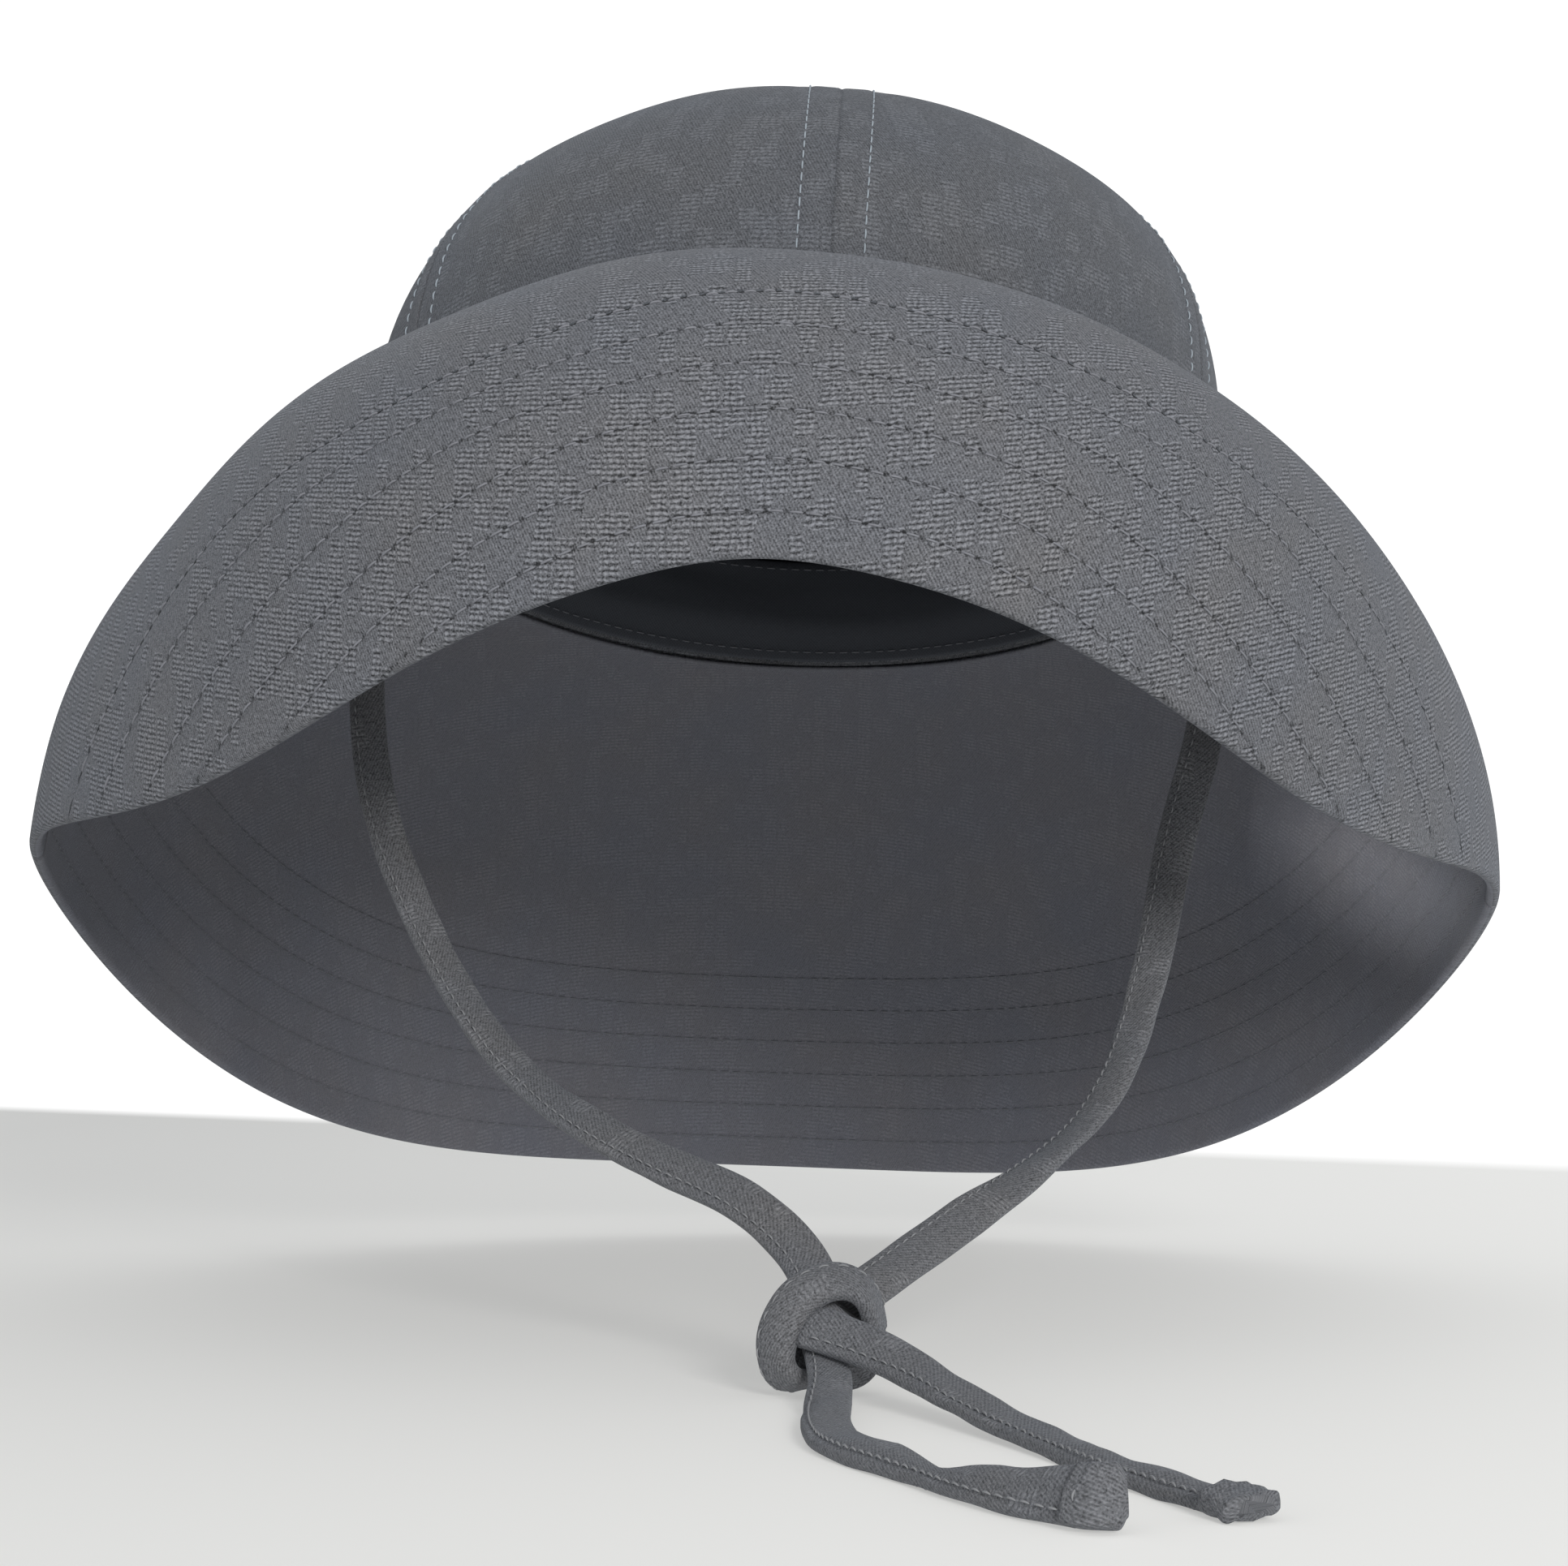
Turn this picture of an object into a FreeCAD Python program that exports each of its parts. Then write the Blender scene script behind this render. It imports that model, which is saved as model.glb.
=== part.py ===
import FreeCAD
import Part
import math
import os
import Sketcher
from FreeCAD import Placement, Rotation, Vector

# Six-panel cloth sun hat with a wide stitched brim, narrowest over the face and longest over the
# neck, and two cloth chin ties knotted together under the chin.
#
# Row frame: millimetres, +Z up, the face looks along -Y, +X is the right of someone facing it.
# The origin is the centre of the head opening, in the plane of the seam that joins crown and brim.
# The hat sits tilted back on the head, so it is built in its own level frame and then leaned.

DRIVING_DIMENSIONS = {
    # head opening and the way the hat sits
    "head_half_width": 90.0,
    "head_half_length": 104.0,
    "lean_back_deg": 13.0,
    "lean_side_deg": 2.8,
    # crown, a rounded box on the head opening
    "crown_height": 73.6,
    "crown_round_side": 2.72,
    "crown_round_top": 3.0,
    "crown_drift_side": 3.3,
    "crown_drift_back": 12.8,
    "front_seam_yaw_deg": 3.3,
    "gore_count": 6,
    # cloth
    "cloth_thickness": 0.8,
    "lining_thickness": 0.5,
    "interfacing_thickness": 0.7,
    "layer_gap": 0.15,
    "seam_gap": 0.3,
    # brim width round the head: mean, then its parts with one to four lobes, then right less left
    "brim_width": 123.1,
    "brim_width_fore_aft": -20.9,
    "brim_width_sides": 5.4,
    "brim_width_three_lobes": -2.3,
    "brim_width_four_lobes": -5.0,
    "brim_width_right": -2.8,
    # brim slope below the level of the seam, in radians, at its root and at its edge
    "root_slope": 0.095,
    "root_slope_fore_aft": -0.210,
    "root_slope_sides": -0.017,
    "root_slope_three_lobes": -0.144,
    "root_slope_four_lobes": -0.045,
    "root_slope_right": -0.017,
    "edge_slope": 1.649,
    "edge_slope_fore_aft": 0.318,
    "edge_slope_sides": 0.010,
    "edge_slope_three_lobes": 0.039,
    "edge_slope_four_lobes": -0.071,
    "edge_slope_right": 0.013,
    "slope_growth": 0.72,
    # sweatband inside the crown
    "band_outer_half_width": 85.2,
    "band_outer_half_length": 98.2,
    "band_height": 22.0,
    "band_thickness": 1.2,
    "band_rise": 1.0,
    # chin ties, flat tapes folded from the hat's cloth
    "tie_width": 8.0,
    "knot_half_width": 14.0,
    "knot_half_depth": 11.0,
    "knot_half_height": 11.0,
    "hem_length": 7.0,
    "hem_width": 9.5,
    "hem_thickness": 4.0,
    "hem_round": 1.2,
    "anchor_width": 11.0,
    "anchor_height": 17.0,
    "anchor_thickness": 1.6,
    "anchor_round": 0.5,
    "anchor_drop": 3.5,
    "anchor_inset": 2.9,
    "anchor_azimuth_deg": 84.0,
}

GORE_NAMES = ["front_right", "right", "back_right", "back_left", "left", "front_left"]

# Height of the surface under the head, where the tails of the ties lie.
TABLE_HEIGHT = -168.7

# Routes of the four tapes, as points in the row frame. Each tie runs from its anchor to the knot,
# and each tail from the knot to its hemmed end.
TIE_ROUTES = {
    "tie_left": [
        (-86.9, -12.2, 0.0), (-88.2, -17.0, -22.0), (-87.4, -24.5, -45.0), (-84.0, -31.5, -67.0),
        (-74.5, -42.5, -88.0), (-62.6, -60.0, -107.0), (-48.0, -80.0, -122.0),
        (-28.0, -103.5, -132.0), (-10.0, -121.0, -137.5), (2.5, -136.0, -147.0)],
    "tie_right": [
        (86.5, -12.2, -8.4), (87.4, -18.0, -29.0), (85.0, -25.0, -50.5), (77.5, -32.0, -72.0),
        (72.2, -44.0, -92.0), (66.3, -59.5, -109.5), (57.0, -77.0, -126.0),
        (41.5, -97.5, -136.5), (26.0, -116.0, -145.0), (12.0, -133.0, -153.5)],
    "tie_tail_right": [
        (14.0, -151.5, -158.0), (20.0, -167.0, -162.5), (27.5, -186.0, -164.5),
        (37.5, -211.0, -164.5), (45.0, -236.0, -164.5), (54.5, -258.0, -164.5)],
    "tie_tail_left": [
        (3.5, -154.0, -160.5), (3.5, -172.0, -164.4), (5.5, -194.0, -164.5),
        (10.5, -218.0, -164.5), (22.5, -236.5, -164.5), (33.5, -260.5, -164.5)],
}
KNOT_CENTRE = Vector(4.5, -148.0, -157.5)

doc = FreeCAD.newDocument("SunHat")
sheet = doc.addObject("Spreadsheet::Sheet", "Dimensions")
for row, (alias, value) in enumerate(DRIVING_DIMENSIONS.items(), start=1):
    sheet.set("A%d" % row, alias)
    sheet.set("B%d" % row, str(value))
    sheet.setAlias("B%d" % row, alias)
doc.recompute()


def dim(alias):
    return float(sheet.get(alias))


HALF_WIDTH = dim("head_half_width")
HALF_LENGTH = dim("head_half_length")
SEAM_YAW = math.radians(dim("front_seam_yaw_deg"))

# The lean: first back about X, then to the side about Y.
LEAN = Placement(
    Vector(0, 0, 0),
    Rotation(Vector(0, 1, 0), dim("lean_side_deg")) * Rotation(Vector(1, 0, 0), -dim("lean_back_deg")))

sub_parts = []


# ---------------------------------------------------------------- solids from two facing skins

def skin(grid):
    """A smooth surface through a grid of points."""
    surface = Part.BSplineSurface()
    surface.interpolate(grid)
    return surface


def boundary_edges(surface):
    """The four border curves of a skin, in a fixed order."""
    u_low, u_high, v_low, v_high = surface.bounds()
    borders = [surface.uIso(u_low), surface.uIso(u_high), surface.vIso(v_low), surface.vIso(v_high)]
    return [border.toShape() for border in borders]


def cloth_solid(outer_grid, inner_grid):
    """A closed piece of cloth between two skins, with ruled edges all round."""
    outer = skin(outer_grid)
    inner = skin(inner_grid)
    faces = [outer.toShape(), inner.toShape()]
    for outer_edge, inner_edge in zip(boundary_edges(outer), boundary_edges(inner)):
        faces.append(Part.makeRuledSurface(outer_edge, inner_edge))
    shell = Part.Shell(faces)
    shell.sewShape()
    solid = Part.makeSolid(shell)
    if solid.Volume < 0:
        solid.reverse()
    return solid


def add_feature(name, shape, placement=None):
    """Store a free-form piece as a sub-part, with its placement set after its shape."""
    piece = doc.addObject("Part::Feature", name)
    piece.Label = name
    piece.Shape = shape
    if placement is not None:
        piece.Placement = placement
    sub_parts.append(piece)
    return piece


# ---------------------------------------------------------------- crown

def crown_point(azimuth, rise_angle, inset):
    """A point of the crown, inset from its outer surface. Azimuth 0 is the front."""
    plan = math.cos(rise_angle) ** (2 / dim("crown_round_side"))
    rise = math.sin(rise_angle) ** (2 / dim("crown_round_top"))
    drift = rise * rise
    return Vector(
        (HALF_WIDTH - inset) * plan * math.sin(azimuth) + dim("crown_drift_side") * drift,
        -(HALF_LENGTH - inset) * plan * math.cos(azimuth) + dim("crown_drift_back") * drift,
        (dim("crown_height") - inset) * rise)


def crown_gore(first_seam, last_seam, outer_inset, thickness):
    """One gore, from the head opening to its narrow tip at the top of the crown."""
    across_steps = 6
    up_steps = 10
    tip_angle = math.radians(89.85)
    side_gap = 0.5 * dim("seam_gap") / HALF_WIDTH
    grids = []
    for inset in (outer_inset, outer_inset + thickness):
        grid = []
        for across in range(across_steps + 1):
            share = across / across_steps
            azimuth = first_seam + side_gap + share * (last_seam - first_seam - 2 * side_gap)
            column = []
            for up in range(up_steps + 1):
                # closer steps towards the tip, where the surface turns over
                rise_angle = tip_angle * (1 - (1 - up / up_steps) ** 1.35)
                column.append(crown_point(azimuth, rise_angle, inset))
            grid.append(column)
        grids.append(grid)
    return cloth_solid(grids[0], grids[1])


gore_angle = 2 * math.pi / dim("gore_count")
lining_inset = dim("cloth_thickness") + dim("layer_gap")
for index, gore_name in enumerate(GORE_NAMES):
    seam = SEAM_YAW + index * gore_angle
    next_seam = seam + gore_angle
    outer_gore = crown_gore(seam, next_seam, 0.0, dim("cloth_thickness"))
    lining_gore = crown_gore(seam, next_seam, lining_inset, dim("lining_thickness"))
    add_feature("crown_gore_" + gore_name, outer_gore, LEAN)
    add_feature("lining_gore_" + gore_name, lining_gore, LEAN)


# ---------------------------------------------------------------- brim

def around_head(quantity, azimuth):
    """A brim quantity of the sheet that varies smoothly round the head."""
    return (dim(quantity) + dim(quantity + "_fore_aft") * math.cos(azimuth)
            + dim(quantity + "_sides") * math.cos(2 * azimuth)
            + dim(quantity + "_three_lobes") * math.cos(3 * azimuth)
            + dim(quantity + "_four_lobes") * math.cos(4 * azimuth)
            + dim(quantity + "_right") * math.sin(azimuth))


def brim_profile(azimuth, steps):
    """Points (outward, down, slope) of the brim's section, from the seam to the edge."""
    fine = 8
    width = around_head("brim_width", azimuth)
    root_slope = around_head("root_slope", azimuth)
    edge_slope = around_head("edge_slope", azimuth)
    start = dim("seam_gap") + dim("cloth_thickness")
    step = (width - start) / (steps * fine)
    outward = start
    height = 0.0
    profile = []
    for count in range(steps * fine + 1):
        travelled = (start + count * step) / width
        slope = root_slope + (edge_slope - root_slope) * travelled ** dim("slope_growth")
        if count % fine == 0:
            profile.append((outward, height, slope))
        outward += step * math.cos(slope)
        height -= step * math.sin(slope)
    return profile


def brim_section(first_azimuth, last_azimuth, outer_inset, thickness):
    """One layer of half of the brim, from side seam to side seam."""
    across_steps = 16
    out_steps = 9
    side_gap = 0.5 * dim("seam_gap") / HALF_WIDTH
    grids = []
    for inset in (outer_inset, outer_inset + thickness):
        grid = []
        for across in range(across_steps + 1):
            share = across / across_steps
            azimuth = first_azimuth + side_gap + share * (last_azimuth - first_azimuth - 2 * side_gap)
            # outward direction of the head opening's ellipse
            normal = Vector(math.sin(azimuth) / HALF_WIDTH, -math.cos(azimuth) / HALF_LENGTH, 0)
            normal.normalize()
            seam = Vector(HALF_WIDTH * math.sin(azimuth), -HALF_LENGTH * math.cos(azimuth), 0)
            column = []
            for outward, height, slope in brim_profile(azimuth, out_steps):
                below = outward - inset * math.sin(slope)
                column.append(seam + normal * below + Vector(0, 0, height - inset * math.cos(slope)))
            grid.append(column)
        grids.append(grid)
    return cloth_solid(grids[0], grids[1])


brim_halves = {"front": (-math.pi / 2, math.pi / 2), "back": (math.pi / 2, 3 * math.pi / 2)}
cloth = dim("cloth_thickness")
gap = dim("layer_gap")
stiffener = dim("interfacing_thickness")
brim_layers = {
    "brim_top": (0.0, cloth),
    "brim_interfacing": (cloth + gap, stiffener),
    "brim_under": (cloth + stiffener + 2 * gap, cloth),
}
for half_name, (first, last) in brim_halves.items():
    for layer_name, (inset, thickness) in brim_layers.items():
        layer = brim_section(first, last, inset, thickness)
        add_feature(layer_name + "_" + half_name, layer, LEAN)


# ---------------------------------------------------------------- sweatband

def oval_block(name, shrink_alias):
    """A level elliptical block of the band's height, optionally shrunk by a sheet value."""
    shrink = " - Dimensions.%s" % shrink_alias if shrink_alias else ""
    outline = doc.addObject("Part::Ellipse", name + "_outline")
    outline.setExpression("MajorRadius", "Dimensions.band_outer_half_length" + shrink)
    outline.setExpression("MinorRadius", "Dimensions.band_outer_half_width" + shrink)
    outline.Placement = Placement(Vector(0, 0, 0), Rotation(Vector(0, 0, 1), 90))
    block = doc.addObject("Part::Extrusion", name)
    block.Base = outline
    block.DirMode = "Custom"
    block.Dir = Vector(0, 0, 1)
    block.Solid = True
    block.setExpression("LengthFwd", "Dimensions.band_height")
    return block


band = doc.addObject("Part::Cut", "sweatband")
band.Label = "sweatband"
band.Base = oval_block("band_outer", None)
band.Tool = oval_block("band_inner", "band_thickness")
band.Placement = LEAN * Placement(Vector(0, 0, dim("band_rise")), Rotation())
sub_parts.append(band)


# ---------------------------------------------------------------- small folded tabs

def folded_tab(name, length_alias, width_alias, thickness_alias, round_alias):
    """A rounded tab of folded cloth: length along X, width along Y, thickness up from Z = 0."""
    body = doc.addObject("PartDesign::Body", name)
    body.Label = name
    plane = [item for item in body.Origin.OriginFeatures if item.Role == "XY_Plane"][0]
    sketch = body.newObject("Sketcher::SketchObject", name + "_sketch")
    sketch.AttachmentSupport = [(plane, "")]
    sketch.MapMode = "FlatFace"
    length = dim(length_alias)
    half_width = dim(width_alias) / 2
    corners = [Vector(0, -half_width, 0), Vector(length, -half_width, 0),
               Vector(length, half_width, 0), Vector(0, half_width, 0)]
    for number, corner in enumerate(corners):
        sketch.addGeometry(Part.LineSegment(corner, corners[(number + 1) % 4]), False)
    for number in range(4):
        sketch.addConstraint(Sketcher.Constraint("Coincident", number, 2, (number + 1) % 4, 1))
    sketch.addConstraint(Sketcher.Constraint("Horizontal", 0))
    sketch.addConstraint(Sketcher.Constraint("Horizontal", 2))
    sketch.addConstraint(Sketcher.Constraint("Vertical", 1))
    sketch.addConstraint(Sketcher.Constraint("Symmetric", 3, 1, 3, 2, -1))
    sketch.addConstraint(Sketcher.Constraint("PointOnObject", 3, 1, -2))
    along = sketch.addConstraint(Sketcher.Constraint("DistanceX", 0, 1, 0, 2, length))
    across = sketch.addConstraint(Sketcher.Constraint("DistanceY", 1, 1, 1, 2, 2 * half_width))
    sketch.setExpression("Constraints[%d]" % along, "Dimensions." + length_alias)
    sketch.setExpression("Constraints[%d]" % across, "Dimensions." + width_alias)
    pad = body.newObject("PartDesign::Pad", name + "_pad")
    pad.Profile = sketch
    pad.setExpression("Length", "Dimensions." + thickness_alias)
    doc.recompute()
    rounding = body.newObject("PartDesign::Fillet", name + "_round")
    rounding.Base = (pad, ["Edge%d" % (i + 1) for i in range(len(pad.Shape.Edges))])
    rounding.setExpression("Radius", "Dimensions." + round_alias)
    doc.recompute()
    body.Tip = rounding
    sub_parts.append(body)
    return body


# Tie anchors, caught between the sweatband and the lining beside each ear.
anchor_azimuth = math.radians(dim("anchor_azimuth_deg"))
for side_name, side in (("left", -1), ("right", 1)):
    azimuth = side * anchor_azimuth
    normal = Vector(math.sin(azimuth) / HALF_WIDTH, -math.cos(azimuth) / HALF_LENGTH, 0)
    normal.normalize()
    seam = Vector(HALF_WIDTH * math.sin(azimuth), -HALF_LENGTH * math.cos(azimuth), 0)
    foot = seam - normal * (dim("anchor_inset") + dim("anchor_thickness") / 2)
    foot.z = -dim("anchor_drop")
    anchor = folded_tab("tie_anchor_" + side_name, "anchor_height", "anchor_width",
                        "anchor_thickness", "anchor_round")
    # the tab stands up: its length along +Z, its thickness along the outward direction
    upright = Rotation(Vector(0, 0, 1), Vector(0, 0, 1).cross(normal), normal, "ZXY")
    anchor.Placement = LEAN * Placement(foot, upright)


# ---------------------------------------------------------------- ties, tails and knot

def rounded_route(name, points):
    """A wire of straight runs joined by tangent arcs, each as large as its two runs allow."""
    edges = []
    radii = []
    start = points[0]
    for before, corner, after in zip(points, points[1:], points[2:]):
        back = (before - corner).normalize()
        ahead = (after - corner).normalize()
        half_turn = (math.pi - back.getAngle(ahead)) / 2
        shorter = min(before.distanceToPoint(corner), after.distanceToPoint(corner))
        reach = 0.45 * shorter
        radii.append(reach / math.tan(half_turn))
        arc_start = corner + back * reach
        arc_end = corner + ahead * reach
        bisector = (back + ahead).normalize()
        to_centre = radii[-1] / math.cos(half_turn)
        arc_middle = corner + bisector * (to_centre - radii[-1])
        edges.append(Part.LineSegment(start, arc_start).toShape())
        edges.append(Part.Arc(arc_start, arc_middle, arc_end).toShape())
        start = arc_end
    edges.append(Part.LineSegment(start, points[-1]).toShape())
    print(name, "arc radii", [round(radius, 1) for radius in radii])
    return Part.Wire(edges)


def tape_tube(name, points):
    """A plain tube along a tape's route, as wide as the tape."""
    route = rounded_route(name, points)
    section = Part.Circle(points[0], points[1] - points[0], dim("tie_width") / 2)
    profile = Part.Wire([section.toShape()])
    tube = route.makePipeShell([profile], True, False)
    expected = math.pi * (dim("tie_width") / 2) ** 2 * route.Length
    print(name, "length %.1f, volume share %.4f" % (route.Length, tube.Volume / expected))
    return tube


knot = doc.addObject("Part::Ellipsoid", "chin_knot")
knot.Label = "chin_knot"
knot.setExpression("Radius1", "Dimensions.knot_half_height")
knot.setExpression("Radius2", "Dimensions.knot_half_width")
knot.setExpression("Radius3", "Dimensions.knot_half_depth")
knot.Placement = Placement(KNOT_CENTRE, Rotation())
sub_parts.append(knot)
doc.recompute()

for tape_name, route_points in TIE_ROUTES.items():
    route_vectors = [Vector(*point) for point in route_points]
    tube = tape_tube(tape_name, route_vectors)
    # each tape meets the knot face to face
    add_feature(tape_name, tube.cut(knot.Shape))
    if "tail" in tape_name:
        end = route_vectors[-1]
        direction = end - route_vectors[-2]
        heading = math.degrees(math.atan2(direction.y, direction.x))
        hem = folded_tab(tape_name.replace("tail", "hem"), "hem_length", "hem_width",
                         "hem_thickness", "hem_round")
        foot = Vector(end.x, end.y, TABLE_HEIGHT + 0.3)
        hem.Placement = Placement(foot, Rotation(Vector(0, 0, 1), heading))

doc.recompute()

# ---------------------------------------------------------------- checks and export

for item in doc.Objects:
    if "Invalid" in item.State or "Error" in item.State:
        raise RuntimeError("%s failed: %s" % (item.Label, item.State))
for piece in sub_parts:
    if piece.Shape.isNull() or not piece.Shape.isValid() or not piece.Shape.Solids:
        raise RuntimeError("%s has no valid solid" % piece.Label)

os.makedirs("parts", exist_ok=True)
for piece in sub_parts:
    piece.Shape.exportStep("parts/%s.step" % piece.Label)
    print("%-28s solids %d  volume %9.1f mm3" % (
        piece.Label, len(piece.Shape.Solids), piece.Shape.Volume))
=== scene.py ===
import math

import bmesh
import bpy
import numpy as np
from mathutils import Matrix, Quaternion, Vector


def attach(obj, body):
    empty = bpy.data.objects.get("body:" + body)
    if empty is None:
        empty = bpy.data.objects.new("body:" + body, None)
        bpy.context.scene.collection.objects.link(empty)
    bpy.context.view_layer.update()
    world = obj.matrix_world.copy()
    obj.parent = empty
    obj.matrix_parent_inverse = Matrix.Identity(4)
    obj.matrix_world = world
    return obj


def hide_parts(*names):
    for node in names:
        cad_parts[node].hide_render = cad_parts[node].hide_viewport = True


# Six-panel cloth sun hat with a wide stitched brim and knotted chin ties. Lengths below are in
# millimetres unless a name or comment says metres, and become metres where meshes are made.

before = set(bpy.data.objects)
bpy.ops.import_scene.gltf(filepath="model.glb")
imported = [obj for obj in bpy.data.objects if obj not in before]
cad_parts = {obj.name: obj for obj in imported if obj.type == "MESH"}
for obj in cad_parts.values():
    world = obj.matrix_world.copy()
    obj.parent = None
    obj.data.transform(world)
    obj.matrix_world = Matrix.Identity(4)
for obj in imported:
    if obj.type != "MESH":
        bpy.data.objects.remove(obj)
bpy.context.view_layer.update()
MM = 0.001

# ---- driving dimensions

HALF_WIDTH, HALF_LENGTH = 90.0, 104.0  # head opening at the seam
LEAN_BACK, LEAN_SIDE = math.radians(13.0), math.radians(2.8)
CROWN_HEIGHT = 73.6
CROWN_ROUND_SIDE, CROWN_ROUND_TOP = 2.72, 3.0  # powers of the curve up its side; 2 is an ellipse
CROWN_DRIFT_SIDE, CROWN_DRIFT_BACK = 3.3, 12.8  # how far its top leans over to the side and back
SEAM_YAW = math.radians(3.3)  # from the middle of the front to the first seam
GORES = ["front_right", "right", "back_right", "back_left", "left", "front_left"]

# mean, fore-aft, sides, three lobes, four lobes, right less left
BRIM_WIDTH = (123.1, -20.9, 5.4, -2.3, -5.0, -2.8)
ROOT_SLOPE = (0.095, -0.210, -0.017, -0.144, -0.045, -0.017)
EDGE_SLOPE = (1.649, 0.318, 0.010, 0.039, -0.071, 0.013)
SLOPE_GROWTH = 0.72  # power by which the slope grows from root to edge
FRONT_LIFT, LIFT_PLACE, LIFT_SPREAD = 2.6, -2.5, 8.0  # of the front edge: mm, degrees, degrees
BRIM_ROOT = 1.1  # where the drape starts, outward of the seam
CLOTH, LINING = 0.8, 0.5  # thicknesses
BRIM_THICKNESS = 2.6
FELT_TOP, FELT_FOOT = 1.15, 1.45  # below the brim's upper face

ROW_PITCH = 8.77  # between rows of stitching
FIRST_ROW = 7.9  # from the brim's edge to its first row
ROWS = 6
STITCH = 3.2
THREAD = 0.19  # radius
SEAM_STITCH, SEAM_THREAD = 3.0, 0.17  # of the crown's and the sweatband's rows

TABLE = -168.7
TIE_WIDTH = 8.0
TIE_THICKNESS = 2.2
CLEARANCE = 0.25  # of a tape's lowest edge above the table

LEAN = np.array(Matrix.Rotation(LEAN_SIDE, 3, "Y") @ Matrix.Rotation(-LEAN_BACK, 3, "X"))

# ---- small helpers


def leaned(points):
    """Hat-frame points, in mm, to the object's frame."""
    return points @ LEAN.T


def gauss(distance, width):
    return np.exp(-((distance / width) ** 2))


def ease(value, low, high):
    share = np.clip((value - low) / (high - low), 0.0, 1.0)
    return share * share * (3 - 2 * share)


def ripple(along, across, wavelength, seed):
    """Smooth irregular waves of about one wavelength, from -1 to 1."""
    chance = np.random.default_rng(seed)
    total = 0.0
    for _ in range(7):
        heading = chance.uniform(0, 2 * math.pi)
        number = 2 * math.pi / (wavelength * chance.uniform(0.6, 1.7))
        turn = chance.uniform(0, 2 * math.pi)
        total = total + np.sin(
            number * (np.cos(heading) * along + np.sin(heading) * across) + turn)
    return total / 3.5


def unit(vectors):
    """The same vectors, along the last axis, with a length of one."""
    return vectors / np.maximum(np.linalg.norm(vectors, axis=-1), 1e-9)[..., None]


def lengths_along(points):
    """Running length of a line of points, or of each column of a grid of them."""
    steps = np.linalg.norm(np.diff(points, axis=0), axis=-1)
    return np.concatenate([np.zeros((1,) + steps.shape[1:]), np.cumsum(steps, axis=0)])


def read_line(places, lengths, line):
    """The points, or normals, of a line at these lengths along it."""
    return np.stack([np.interp(places, lengths, line[:, k]) for k in range(3)], axis=-1)


def link(name, data):
    """A new object with this data, in the scene."""
    thing = bpy.data.objects.new(name, data)
    bpy.context.scene.collection.objects.link(thing)
    return thing


def make_object(name, points, faces, uvs=None):
    """A smooth mesh object from points in mm. uvs maps a UV layer to one value pair per point."""
    mesh = bpy.data.meshes.new(name)
    mesh.from_pydata((np.asarray(points) * MM).tolist(), [], faces)
    mesh.polygons.foreach_set("use_smooth", [True] * len(mesh.polygons))
    for layer_name, pairs in (uvs or {}).items():
        corner_points = np.empty(len(mesh.loops), dtype=np.int32)
        mesh.loops.foreach_get("vertex_index", corner_points)
        layer = mesh.uv_layers.new(name=layer_name)
        layer.data.foreach_set("uv", np.asarray(pairs, dtype=np.float32)[corner_points].ravel())
    mesh.update()
    mesh.validate()
    return link(name, mesh)


def weld(thing):
    """Joins the points that a tube's closing line has twice."""
    shape = bmesh.new()
    shape.from_mesh(thing.data)
    bmesh.ops.remove_doubles(shape, verts=shape.verts, dist=1e-7)
    shape.to_mesh(thing.data)
    shape.free()
    return thing


def grid_faces(rows, columns, start=0, flip=False):
    """Quads of a grid of points stored row by row."""
    index = start + np.arange(rows * columns).reshape(rows, columns)
    quads = np.stack([index[:-1, :-1], index[:-1, 1:], index[1:, 1:], index[1:, :-1]], axis=-1)
    quads = quads.reshape(-1, 4)
    return (quads[:, ::-1] if flip else quads).tolist()


def closed_sheet(name, outer, inner, step, uvs):
    """A thin closed sheet: a fine outer skin, a coarser inner one and a rim between them."""
    rows, columns = outer.shape[:2]
    row_picks = sorted({*range(0, rows, step), rows - 1})
    column_picks = sorted({*range(0, columns, step), columns - 1})
    coarse = inner[np.ix_(row_picks, column_picks)]
    faces = grid_faces(rows, columns)
    start = rows * columns
    faces += grid_faces(len(row_picks), len(column_picks), start, flip=True)
    fine = np.arange(start).reshape(rows, columns)
    rough = start + np.arange(coarse.shape[0] * coarse.shape[1]).reshape(coarse.shape[:2])
    for edge, coarse_edge, picks, turn in (
            (fine[0], rough[0], column_picks, 1), (fine[-1], rough[-1], column_picks, -1),
            (fine[:, 0], rough[:, 0], row_picks, -1), (fine[:, -1], rough[:, -1], row_picks, 1)):
        for place, (first, last) in enumerate(zip(picks, picks[1:])):
            rim = np.concatenate([edge[first:last + 1][::-1], coarse_edge[place:place + 2]])
            faces.append(rim[::turn].tolist())
    points = np.concatenate([outer.reshape(-1, 3), coarse.reshape(-1, 3)])
    all_uvs = {}
    for layer_name, pairs in uvs.items():
        coarse_pairs = pairs[np.ix_(row_picks, column_picks)]
        all_uvs[layer_name] = np.concatenate([pairs.reshape(-1, 2), coarse_pairs.reshape(-1, 2)])
    return make_object(name, points, faces, all_uvs)


# a stitch dives into the cloth at both ends: its rings' heights and sizes, in thread radii
STITCH_RISE = np.array([-1.6, 0.2, 0.75, 0.9, 0.75, 0.2, -1.6])
STITCH_GIRTH = np.array([0.5, 0.9, 1.0, 1.05, 1.0, 0.9, 0.5])


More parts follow.
